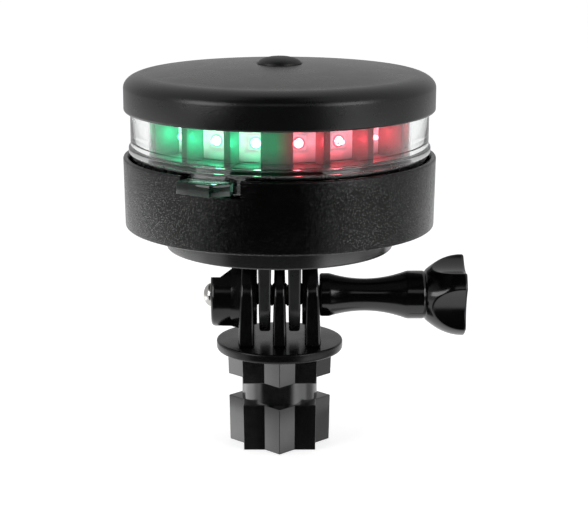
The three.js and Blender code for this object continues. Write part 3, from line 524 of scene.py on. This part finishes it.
# ------------------------------------------------------------------ plug adapter
SHORT_STAR_R, LONG_STAR_R = 10.75, 10.5
VALLEY_SHARE = cos(pi / 4) / cos(pi / 8)          # radius of a star's valleys against its points
POINT_SOFT, VALLEY_SOFT = 0.2, 0.15               # their rounding
STAR_TAPER = 0.982                                # lower end of a star against its upper end
LONG_STAR_TOP, SHORT_STAR_LOW = -21.4, -16.8
FLANGE_R, FLANGE_TOP, FLANGE_LOW = 12.92, -9.25, -11.25
NECK_R = 7.73
NECK_SINK, STAR_SINK = 0.5, 0.35                  # how far neck and short star run into what is next
PRONG_ROOT = -9.3                                 # just inside the flange
PRONGS = (((-8.38, -5.1), (-7.7, -5.35)),         # X of both faces at the flange and at the end
          ((-1.43, 1.43), (-1.05, 1.05)),
          ((5.1, 8.38), (5.35, 7.7)))
PAD_FACE, PAD_BACK = 4.6, 5.9                     # pads inside the outer prongs, X from the middle
PAD_FACE_R, PAD_BACK_R = 6.1, 6.35
PRONG_BORE, POCKET_R = 2.6, 3.15
BOSS_R, BOSS_ROOT_R, BOSS_END, BOSS_ROOT = 6.4, 7.0, -13.9, -5.9
POCKET_FLOOR = -9.6
TRIM_TILT = radians(15)                           # backward lean of the cut over the boss
TRIM_FLOOR = 3.43                                 # height of its level stretch, before it leans
BEYOND = 30                                       # further than any face that it has to clear


def star_outline(radius):
    """Eight-pointed outline with slightly rounded points and valleys."""
    raw = []
    for i in range(16):
        r = radius * (1.0 if i % 2 == 0 else VALLEY_SHARE)
        raw.append(Vector((r * cos(i * pi / 8), r * sin(i * pi / 8))))
    out = []
    for i, here in enumerate(raw):
        soft = POINT_SOFT if i % 2 == 0 else VALLEY_SOFT
        out += soft_corner(raw[i - 1], here, raw[(i + 1) % 16], soft, 3)
    return out


def star(name, radius, low, high, ends):
    """Star prism whose outline is rounded at each (height, width) of its ends."""
    bm = prism_bm(star_outline(radius), low, high, scale_low=STAR_TAPER)
    for level, width in ends:
        round_edges(bm, [e for e in bm.edges if at_height(e, level)], width, 4)
    return finish_mesh(name, bm, adapter_mat, 28)


flange = lathe("flange", rounded([
    (0, FLANGE_LOW), (FLANGE_R, FLANGE_LOW, 0.75), (FLANGE_R, FLANGE_TOP, 0.4), (0, FLANGE_TOP)], 6),
    flange_mat, 160)
neck = rod("neck", NECK_R, LONG_STAR_TOP - NECK_SINK, SHORT_STAR_LOW + NECK_SINK, adapter_mat, 128)
short_star = star("short_star", SHORT_STAR_R, SHORT_STAR_LOW, FLANGE_LOW + STAR_SINK,
                  [(SHORT_STAR_LOW, 0.2)])
long_star = star("long_star", LONG_STAR_R, -AXIS, LONG_STAR_TOP, [(-AXIS, 0.55), (LONG_STAR_TOP, 0.2)])
prongs = []
for foot, end in PRONGS:
    bm = lean(prism_bm(tongue(PRONG_ROOT), *foot, "X"), FLANGE_TOP, TONGUE_R, foot, end)
    prongs.append(finish_mesh("prong", bevelled(bm, 0.65, 4, 50), prong_mat))
for side in (-1, 1):
    back, face = side * PAD_BACK, side * PAD_FACE
    prongs.append(lathe("pad", rounded([(0, back), (PAD_BACK_R, back), (PAD_FACE_R, face, 0.25),
                                        (0, face)], 4), prong_mat, 96, "X"))
for prong in prongs:
    boolean(prong, rod("bore", PRONG_BORE, -9, 9, prong_mat, 64, "X"))

boss = lathe("insert_boss", rounded([
    (0, BOSS_END), (BOSS_R, BOSS_END, 1.0), (BOSS_R + 0.02, -9.9, 1.2), (BOSS_ROOT_R, -8.0),
    (BOSS_ROOT_R, BOSS_ROOT), (0, BOSS_ROOT)], 6), prong_mat, 128, "X")
# The cut over the boss is drawn flat, X against height over the axis, then turned upright and leant.
trim = finish_mesh("trim", prism_bm([
    (-BEYOND, TRIM_FLOOR), (-11.98, TRIM_FLOOR), (-9.7, 5.2), (-8.8, BEYOND), (-BEYOND, BEYOND)],
    -BEYOND, BEYOND), prong_mat)
for v in trim.data.vertices:
    x, y, z = v.co.x, (AXIS * MM - v.co.z), v.co.y
    v.co = (x, y * cos(TRIM_TILT) + z * sin(TRIM_TILT),
            z * cos(TRIM_TILT) - y * sin(TRIM_TILT) + AXIS * MM)
boolean(boss, trim)
boolean(boss, rod("pocket", POCKET_R, -15, POCKET_FLOOR, prong_mat, 64, "X"))
boolean(boss, rod("bore", PRONG_BORE, -15, -5, prong_mat, 64, "X"))
bevel_later(boss, "soft", 0.25, 3, 38)
adapter = join("adapter_look", [flange, neck, short_star, long_star] + prongs)
show(adapter, "adapter", "adapter_plastic", "plug_adapter")
show(boss, "adapter", "adapter_plastic", "plug_adapter")

# ------------------------------------------------------------------ insert and stud
INSERT_R, INSERT_BORE, INSERT_START, INSERT_END = 3.1, 2.5, -13.7, -9.7
STUD_R, STUD_TIP, TIP_LENGTH, STUD_END = 2.4, -15.55, 1.7, 24.0
THREAD_PITCH, THREAD_DEPTH, THREAD_START = 0.8, 0.42, 1.9      # the start counts from the tip


def surface_x(name, stations, sides, radius, material, sharp):
    """Closed surface along X whose radius depends on the place and on the angle from the top."""
    bm = bmesh.new()
    turns = [2 * pi * k / sides for k in range(sides)]
    rings = [[bm.verts.new(place(radius(x, a) * sin(a), radius(x, a) * cos(a), x, "X")) for a in turns]
             for x in stations]
    for one, two in zip(rings, rings[1:]):
        skin(bm, one, two)
    for ring, x in ((rings[0], stations[0]), (rings[-1], stations[-1])):
        skin(bm, ring, [bm.verts.new(place(0, 0, x, "X"))])
    return finish_mesh(name, bm, material, sharp)


def stud_radius(x, angle):
    """Helical thread behind a smooth domed tip."""
    from_tip = x - STUD_TIP
    if x < STUD_TIP + TIP_LENGTH:
        return STUD_R * sqrt(max(0.0, 1 - (1 - from_tip / TIP_LENGTH) ** 2))
    phase = (x / THREAD_PITCH - angle / (2 * pi)) % 1.0
    wave = abs(2 * phase - 1)
    fade = min(1.0, max(0.0, (from_tip - THREAD_START) / THREAD_PITCH))
    return STUD_R - THREAD_DEPTH * fade * max(0.0, min(1.0, 1.25 * wave - 0.1))


insert = lathe("insert", rounded([
    (INSERT_BORE, INSERT_START), (INSERT_R, INSERT_START, 0.12), (INSERT_R, INSERT_END, 0.12),
    (INSERT_BORE, INSERT_END)], 3), steel_mat, 64, "X")
show(insert, "adapter", "steel", "threaded_insert")

stations = [STUD_TIP + 0.01 + (TIP_LENGTH - 0.01) * (1 - cos(k / 10 * pi / 2)) for k in range(10)]
stations += [STUD_TIP + TIP_LENGTH + 0.1 * k for k in range(223)] + [STUD_END]
stud = surface_x("stud", stations, 40, stud_radius, steel_mat, 60)
show(stud, "bolt", "steel", "thumb_bolt")

# ------------------------------------------------------------------ knob
KNOB_START, KNOB_END, KNOB_ROUND = 8.15, 37.7, 0.5
BELL_START, BELL_R, COLLAR_R, BARREL_R = 29.5, 8.35, 4.92, 4.42
BELL_RIM = 0.6                                    # the bell is at its widest over this last stretch
WAIST_R, WAIST_X, WAIST_CURVE = 3.31, 17.3, 0.0215
GROOVE_DEPTH, GROOVE_WIDTH = 0.22, 0.2            # between collar and bell
WING_TURN, SCALLOP_R, SCALLOP_FLOOR = 12.65, 11.0, 6.05
SCALLOP_SOFT, SOFT_BASE = 0.10, 6.0               # the base keeps the exponents of the soft edge small
SMOOTH_STEPS, SMOOTH_STEP = 5, 0.09               # neighbours in the running mean of the profile
KNOB_BORE, BORE_START, BORE_END = 2.5, 8.0, 24.3


def grip(x):
    """Barrel, waist, collar and bell before any smoothing."""
    if x > BELL_START:
        share = min(1.0, (x - BELL_START) / (KNOB_END - BELL_RIM - BELL_START))
        return COLLAR_R + (BELL_R - COLLAR_R) * (1 - (1 - share) ** 2)
    widest = BARREL_R if x < WAIST_X else COLLAR_R
    return min(widest, WAIST_R + WAIST_CURVE * (x - WAIST_X) ** 2)


def knob_radius(x, angle):
    """Smoothed grip with a groove, four scallops that leave the wings, and rounded ends."""
    total = weight = 0.0
    for k in range(-SMOOTH_STEPS, SMOOTH_STEPS + 1):
        w = 1.0 - abs(k) / (SMOOTH_STEPS + 1)
        total += w * grip(min(max(x + SMOOTH_STEP * k, KNOB_START), KNOB_END))
        weight += w
    r = total / weight
    r -= GROOVE_DEPTH * exp(-((x - BELL_START) / GROOVE_WIDTH) ** 2)
    if x > BELL_START:
        far = SCALLOP_FLOOR + SCALLOP_R
        quarter = pi / 2
        off = (angle + radians(WING_TURN) + quarter / 2) % quarter - quarter / 2
        cut = far * cos(off) - sqrt(max(0.0, SCALLOP_R ** 2 - (far * sin(off)) ** 2))
        r = -SCALLOP_SOFT * log(exp(-(r - SOFT_BASE) / SCALLOP_SOFT)
                                + exp(-(cut - SOFT_BASE) / SCALLOP_SOFT)) + SOFT_BASE
    for depth in (x - KNOB_START, KNOB_END - x):
        if depth < KNOB_ROUND:
            r -= KNOB_ROUND - sqrt(max(0.0, KNOB_ROUND ** 2 - (KNOB_ROUND - depth) ** 2))
    return r


stations = [KNOB_START + KNOB_ROUND * (1 - cos(k / 6 * pi / 2)) for k in range(7)]
stations += [8.8 + 0.15 * k for k in range(190)]
stations += [KNOB_END - KNOB_ROUND + KNOB_ROUND * sin(k / 8 * pi / 2) for k in range(1, 9)]
knob = surface_x("knob", stations, 360, knob_radius, knob_mat, 40)
boolean(knob, rod("bore", KNOB_BORE, BORE_START, BORE_END, knob_mat, 64, "X"))
show(knob, "knob", "knob_plastic", "thumb_knob")

# ------------------------------------------------------------------ cup and finger mount
CUP_R, CUP_FOOT_R, CUP_BORE = 31.25, 31.03, 30.0
CUP_LOW, CUP_FLOOR, CUP_RIM = 15.05, 17.15, 29.1
NOTCH_START, NOTCH_END = 13.4, 36.6                      # angles from the front, in degrees
NOTCH_IN, NOTCH_OUT, NOTCH_LOW, NOTCH_TOP = 29.0, 32.4, 25.7, 31.0
SEAT_R, SEAT_LOW, SEAT_CIRCLE = 2.95, 15.75, 15          # seats of the three cup screws
DISC_R, DISC_LOW, DISC_TOP = 22.86, 10.5, 14.98
FINGER_X, FINGER_ROOT, FINGER_END, FINGER_BORE = 3.0, 1.37, 1.12, 2.65

cup = lathe("cup", rounded([
    (0, CUP_LOW), (CUP_FOOT_R, CUP_LOW, 0.55), (CUP_R, CUP_RIM, 0.75), (CUP_BORE + 0.35, CUP_RIM, 0.25),
    (CUP_BORE, CUP_RIM - 0.6, 0.3), (CUP_BORE, CUP_FLOOR, 1.6), (0, CUP_FLOOR)], 6), cup_mat, 256)
notch = [from_front(NOTCH_IN, NOTCH_START), from_front(NOTCH_OUT, NOTCH_START),
         from_front(32.6, 24.4), from_front(NOTCH_OUT, NOTCH_END), from_front(NOTCH_IN, NOTCH_END)]
boolean(cup, finish_mesh("notch", prism_bm(notch, NOTCH_LOW, NOTCH_TOP), cup_mat))
for k in range(3):
    a = pi / 2 + 2 * pi * k / 3
    seat = rod("seat", SEAT_R, SEAT_LOW, 20, cup_mat, 48)
    boolean(cup, moved(seat, SEAT_CIRCLE * cos(a), SEAT_CIRCLE * sin(a)))
show(cup, "cup", "cup_plastic", "cup_shell")

mount_disc = lathe("mount_disc", rounded([
    (0, DISC_LOW), (DISC_R, DISC_LOW, 0.45), (DISC_R, 14.4, 0.2), (22.5, DISC_TOP, 0.1), (0, DISC_TOP)],
    5), disc_mat, 224)
show(mount_disc, "cup", "mount_plastic", "mount_disc")
for side, x in (("left", -FINGER_X), ("right", FINGER_X)):
    root, end = (x - FINGER_ROOT, x + FINGER_ROOT), (x - FINGER_END, x + FINGER_END)
    bm = lean(prism_bm(tongue(DISC_LOW), *root, "X"), DISC_LOW, -TONGUE_R, root, end)
    sharp_edges = [e for e in bm.edges
                   if not at_height(e, DISC_LOW) and e.calc_face_angle(0) > radians(50)]
    finger = finish_mesh("finger_" + side, round_edges(bm, sharp_edges, 0.5, 4), finger_mat)
    boolean(finger, rod("hole", FINGER_BORE, -6, 6, finger_mat, 64, "X"))
    show(finger, "cup", "mount_plastic", "mount_finger_" + side)

# ------------------------------------------------------------------ lens
LENS_R, LENS_BORE, LENS_TOP = 29.72, 26.4, 40.4
FOOT_R, FOOT_LOW, FOOT_TOP = 30.12, 29.95, 31.1              # ring close above the cup's rim
SKIRT_R, SKIRT_BORE, SKIRT_LOW = 29.5, 28.55, 25.4
TAB_LOW, TAB_TOP = 26.1, 28.55
TAB_ROOT, TAB_START, TAB_END = 28.9, 17.0, 35.7              # root radius, then angles in degrees

lens = lathe("lens", rounded([
    (SKIRT_BORE, SKIRT_LOW), (SKIRT_R, SKIRT_LOW, 0.2), (SKIRT_R, FOOT_LOW),
    (FOOT_R, FOOT_LOW, 0.25), (FOOT_R, FOOT_TOP, 0.25), (LENS_R, FOOT_TOP, 0.15),
    (LENS_R, LENS_TOP), (LENS_BORE, LENS_TOP), (LENS_BORE, FOOT_LOW), (SKIRT_BORE, FOOT_LOW)],
    4), lens_mat, 256, sharp=30)
tab_outline = [from_front(TAB_ROOT, TAB_END), from_front(33.1, TAB_END), from_front(33.8, 22.3),
               from_front(31.0, TAB_START), from_front(TAB_ROOT, TAB_START)]
tab = finish_mesh("lens_tab", bevelled(prism_bm(tab_outline, TAB_LOW, TAB_TOP), 0.22, 3, 30), green_lit_tab_mat)
boolean(tab, rod("ring", SKIRT_R + 0.01, 24, 30, green_lit_tab_mat, 256))
show(lens, "light", "clear_lens", "lens_body")
show(tab, "light", "clear_lens", "lens_body")

# ------------------------------------------------------------------ cap and button
CAP_R, CAP_LOW, CAP_TOP, CAP_BORE = 31.0, 38.15, 47.3, 29.87
SHOULDER_R, SHOULDER_TOP, SHOULDER_FOOT = 26.5, 45.47, 42.73
RECESS_R, RECESS_FLOOR, CAP_HOLE = 4.5, 46.1, 3.2


def cap_dome(radius):
    return CAP_TOP - (CAP_TOP - SHOULDER_TOP) * (radius / SHOULDER_R) ** 2


def cap_shoulder(turn):
    """Quarter ellipse from the side of the cap up to its dome."""
    return (SHOULDER_R + (CAP_R - SHOULDER_R) * cos(turn),
            SHOULDER_FOOT + (SHOULDER_TOP - SHOULDER_FOOT) * sin(turn))


cap_outline = [(CAP_BORE, CAP_LOW), (CAP_R, CAP_LOW, 1.3), (CAP_R, SHOULDER_FOOT)]
cap_outline += [cap_shoulder(pi / 2 * k / 20) for k in range(1, 20)]
cap_outline += [(r, cap_dome(r)) for r in (SHOULDER_R, 25, 23, 20, 17, 14, 11, 8, 6, 4.9)]
cap_outline += [(4.7, 47.2), (RECESS_R, 47.0), (RECESS_R, RECESS_FLOOR), (CAP_HOLE, RECESS_FLOOR),
                (CAP_HOLE, 45.4), (25.0, 43.6), (26.2, 41.75), (CAP_BORE, 41.75)]
cap = lathe("cap", rounded(cap_outline, 6), cap_mat, 256, sharp=40)
show(cap, "light", "cap_plastic", "top_cap")

button = lathe("button", rounded([
    (0, 44.15), (3.0, 44.15), (3.0, 47.03), (4.35, 47.03, 0.15), (4.3, 47.4), (4.1, 47.67),
    (3.6, 48.02), (2.8, 48.33), (1.9, 48.52), (1.0, 48.59), (0, 48.6)], 3), rubber_mat, 96)
show(button, "button", "button_rubber", "top_button")

# ------------------------------------------------------------------ light carrier, strip and chips
BAY = 20                         # degrees from fin to fin
TURN = -1.1                      # turn of the whole light arc, degrees
CHIP_COUNT = 6                   # of each colour
CARRIER_R, CARRIER_LOW, CARRIER_TOP = 26.15, 30.0, 30.85
DRUM_R, DRUM_BORE = 21.1, 19.9
FIN_LOW, FIN_TOP = 30.6, 39.6
FIN = (1.35, 21.95, 26.1)        # thickness, inner and outer radius
DIVIDER = (5.8, 22.6, 26.0)      # the same for the wide fin between green and red
POST_Y, POST_R = 21.6, 3.3       # screw posts of the carrier and the base
STRIP_R, STRIP_BORE, STRIP_LOW, STRIP_TOP = 21.55, 21.15, 31.0, 39.4
CHIP_FACE, CHIP_HALF, CHIP_DEEP, CHIP_HEIGHT = 21.6, 1.4, 0.55, 34.9


def fin_bm(thick, inner, outer):
    """Upright fin whose outer face follows the lens."""
    half = thick / 2
    shoulder = -sqrt(outer ** 2 - half ** 2)
    bm = prism_bm([(-half, -inner), (half, -inner), (half, shoulder), (half * 0.5, -outer),
                   (-half * 0.5, -outer), (-half, shoulder)], FIN_LOW, FIN_TOP)
    return bevelled(bm, 0.18, 2, 30)


def chip(name, angle, core, halo):
    """White package with a halo dome and a brighter core, standing on the strip."""
    back = -CHIP_FACE - CHIP_DEEP
    package = prism_bm([(-CHIP_HALF, back), (CHIP_HALF, back), (CHIP_HALF, -CHIP_FACE),
                        (-CHIP_HALF, -CHIP_FACE)], CHIP_HEIGHT - CHIP_HALF, CHIP_HEIGHT + CHIP_HALF)
    bevelled(package, 0.08, 2, 30)
    parts = [finish_mesh(name + "_package", turned(package, angle), white_mat)]
    for radius, flat, out, material in ((1.3, 0.2, 0.5, halo), (0.95, 0.26, 0.6, core)):
        dome = bmesh.new()
        bmesh.ops.create_uvsphere(dome, u_segments=24, v_segments=14, radius=radius * MM)
        for v in dome.verts:
            v.co.y *= flat
            v.co += Vector((0, -CHIP_FACE - out, CHIP_HEIGHT + AXIS)) * MM
        parts.append(finish_mesh(name + "_dome", turned(dome, angle), material))
    return join(name, parts)


carrier_parts = [
    lathe("floor", rounded([(0, CARRIER_LOW), (CARRIER_R, CARRIER_LOW, 0.2),
                            (CARRIER_R, CARRIER_TOP, 0.2), (0, CARRIER_TOP)], 3), carrier_mat, 192),
    lathe("drum", [(DRUM_BORE, 30.2), (DRUM_R, 30.2), (DRUM_R, 40.9), (DRUM_BORE, 40.9)],
          carrier_mat, 160)]
for k in range(-CHIP_COUNT, CHIP_COUNT + 1):
    bm = turned(fin_bm(*(FIN if k else DIVIDER)), k * BAY + TURN)
    carrier_parts.append(finish_mesh("fin", bm, carrier_mat))
for y in (-POST_Y, POST_Y):
    post = lathe("post", rounded([(1.55, 22.15), (POST_R, 22.15, 0.2), (POST_R, 30.2), (1.55, 30.2)], 3),
                 carrier_mat, 48)
    carrier_parts.append(moved(post, 0, y))
carrier = join("carrier", carrier_parts)
show(carrier, "light", "carrier_plastic", "led_carrier")

strip = lathe("strip", rounded([
    (STRIP_BORE, STRIP_LOW), (STRIP_R, STRIP_LOW, 0.08), (STRIP_R, STRIP_TOP, 0.08),
    (STRIP_BORE, STRIP_TOP)], 2), white_mat, 192)
show(strip, "light", "white_strip", "led_strip")

for i in range(1, CHIP_COUNT + 1):
    angle = (i - 0.5) * BAY
    green_chip = chip(f"chip_green_{i}", -angle + TURN, green_mat, green_halo)
    show(green_chip, "light", "green_led", f"led_green_{i}")
    red_chip = chip(f"chip_red_{i}", angle + TURN, red_mat, red_halo)
    show(red_chip, "light", "red_led", f"led_red_{i}")

# ------------------------------------------------------------------ base
BASE_R, BASE_BORE, BASE_LOW, BASE_FLOOR, BASE_TOP = 28.4, 27.5, 17.45, 18.45, 29.85
SEAL_R, SEAL_LOW, SEAL_TOP = 27.95, 26.5, 27.7    # groove of the base seal

base = lathe("base", rounded([
    (0, BASE_LOW), (BASE_R, BASE_LOW, 0.9), (BASE_R, SEAL_LOW), (SEAL_R, SEAL_LOW), (SEAL_R, SEAL_TOP),
    (BASE_R, SEAL_TOP), (BASE_R, BASE_TOP, 0.2), (BASE_BORE, BASE_TOP, 0.2), (BASE_BORE, BASE_FLOOR, 0.5),
    (0, BASE_FLOOR)], 5), base_mat, 192)
for y in (-POST_Y, POST_Y):
    post = rod("post", POST_R, 18.0, 22.0, base_mat, 48)
    seat = lathe("seat", [(0, 16.0), (2.7, 16.0), (2.7, 19.3), (1.6, 19.3), (1.6, 24.0), (0, 24.0)],
                 base_mat, 48)
    boolean(base, moved(post, 0, y), "UNION")
    boolean(base, moved(seat, 0, y))
show(base, "light", "base_plastic", "light_base")

# ------------------------------------------------------------------ carried-over nodes
FINISHES = {
    "cup_screw_1": steel_mat, "cup_screw_2": steel_mat, "cup_screw_3": steel_mat,
    "cap_seal": seal_mat, "base_seal": seal_mat, "control_board": board_mat,
    "tact_switch": steel_mat, "base_screw_front": steel_mat, "base_screw_back": steel_mat,
    "battery_1": cell_mat, "battery_2": cell_mat, "battery_3": cell_mat,
    "contact_plate_left": contact_mat, "contact_plate_right": contact_mat,
}
for name, material in FINISHES.items():
    node = nodes[name]
    node.data.materials.clear()
    node.data.materials.append(material)
    bevel_later(node, "edge", 0.12, 2, 40)

# ------------------------------------------------------------------ stage
# Pale paper floor. Reflections leave it out and show the studio's walls and boxes instead.
FLOOR_HALF = 4.0                 # metres
floor_mat, n, paper = new_material("floor", Roughness=0.8, Emission_Color=(1, 1, 1, 1),
                                   Emission_Strength=0.68)
n.link(n.tint(n.noise(PAPER_SCALE, 3), (0.9, 0.9, 0.9), (0.93, 0.93, 0.93)), paper.inputs["Base Color"])
floor_bm = bmesh.new()
bmesh.ops.create_grid(floor_bm, x_segments=1, y_segments=1, size=FLOOR_HALF)
floor = finish_mesh("floor_plane", floor_bm, floor_mat)
floor.visible_glossy = False

# ------------------------------------------------------------------ studio walls
# The world is a ring of walls around the light. Azimuths count from the front in degrees, positive
# to the right. `up` is the height of a direction, from -1 straight down to 1 straight up.
world = bpy.data.worlds.new("studio")
scene.world = world
world.use_nodes = True
world.node_tree.nodes.clear()
n = Nodes(world.node_tree)
around = n.add("TexCoord").outputs["Generated"]
split = n.add("SeparateXYZ")
n.link(around, split.inputs[0])
up = split.outputs["Z"]
level = n.add("VectorMath", operation="MULTIPLY")
level.inputs[1].default_value = (1, 1, 0)
n.link(around, level.inputs[0])
compass = n.add("VectorMath", operation="NORMALIZE")
n.link(level.outputs[0], compass.inputs[0])


def facing(azimuth, full, none):
    """1 within `full` degrees of an azimuth, 0 beyond `none`, with a smooth change between."""
    dot = n.add("VectorMath", operation="DOT_PRODUCT")
    dot.inputs[1].default_value = (sin(radians(azimuth)), -cos(radians(azimuth)), 0)
    n.link(compass.outputs[0], dot.inputs[0])
    return n.step(dot.outputs["Value"], cos(radians(none)), cos(radians(full)), 0.0, 1.0)


def all_but(share):
    return n.calc("SUBTRACT", 1.0, share)


BAND_TOP = (-0.285, -0.23)       # heights between which the low band of the walls ends
# A dark opening in front reaches upwards from far below. The walls beside and behind it are
# brighter in their low part and dark overhead, with a dim patch low on the right.
opening = n.times(facing(-7, 44, 59), n.step(up, -0.7, -0.58, 0.0, 0.98))
dim_patch = n.times(facing(92, 18, 40), n.step(up, *BAND_TOP, 0.55, 0.0))
walls = n.times(all_but(opening), all_but(dim_patch), n.step(up, -0.27, -0.12, 1.3, 0.65),
                n.step(up, 0.94, 0.985, 1.0, 0.12))
# Two bright panels stand low at the left behind the light and at the right in front of it.
low_band = n.times(n.step(up, -0.55, -0.42, 0.0, 1.0), n.step(up, *BAND_TOP, 1.0, 0.0))
left_panel = n.times(facing(-112, 18, 36), low_band, 1.35)
right_panel = n.times(facing(64, 14, 34), low_band, 1.3)
background = n.add("Background")
n.link(n.calc("ADD", walls, n.calc("ADD", left_panel, right_panel)), background.inputs["Strength"])
n.link(background.outputs[0], n.add("OutputWorld").inputs["Surface"])


# ------------------------------------------------------------------ lamps
AIM_HEIGHT = 45.0                # height above the plug's end that the soft boxes look at
GLOW_R = 23.4                    # circle that the chips' own lamps stand on
GLOW_SOFT = 0.5                  # their size


def soft_box(name, azimuth, elevation, away, width, high, power):
    """Soft box aimed at the light unit; its distance and its sides are in metres."""
    data = bpy.data.lights.new(name, "AREA")
    data.shape = "RECTANGLE"
    data.size, data.size_y = width, high
    data.energy = power
    lamp = bpy.data.objects.new(name, data)
    a, e = radians(azimuth), radians(elevation)
    aim = Vector((sin(a) * cos(e), -cos(a) * cos(e), sin(e)))
    lamp.location = aim * away + Vector((0, 0, AIM_HEIGHT * MM))
    lamp.rotation_euler = aim.to_track_quat("Z", "Y").to_euler()
    scene.collection.objects.link(lamp)


def led_glow(name, angle, colour, power):
    """Coloured light thrown by one chip on the bay around it."""
    data = bpy.data.lights.new(name, "POINT")
    data.energy = power
    data.color = colour
    data.shadow_soft_size = GLOW_SOFT * MM
    lamp = bpy.data.objects.new(name, data)
    x, y = from_front(GLOW_R, -angle)
    lamp.location = (x * MM, y * MM, (CHIP_HEIGHT + AXIS) * MM)
    scene.collection.objects.link(lamp)
    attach(lamp, "light")


soft_box("left_box", -55, 17, 0.7, 0.38, 0.42, 1.65)
soft_box("right_box", 51, 17, 0.7, 0.39, 0.36, 1.2)
soft_box("front_box", 0, 28, 0.8, 0.5, 0.2, 0.16)
for i in range(1, CHIP_COUNT + 1):
    angle = (i - 0.5) * BAY
    led_glow(f"glow_green_{i}", -angle + TURN, (0.02, 1.0, 0.4), 0.011)
    led_glow(f"glow_red_{i}", angle + TURN, (1.0, 0.05, 0.08), 0.009)
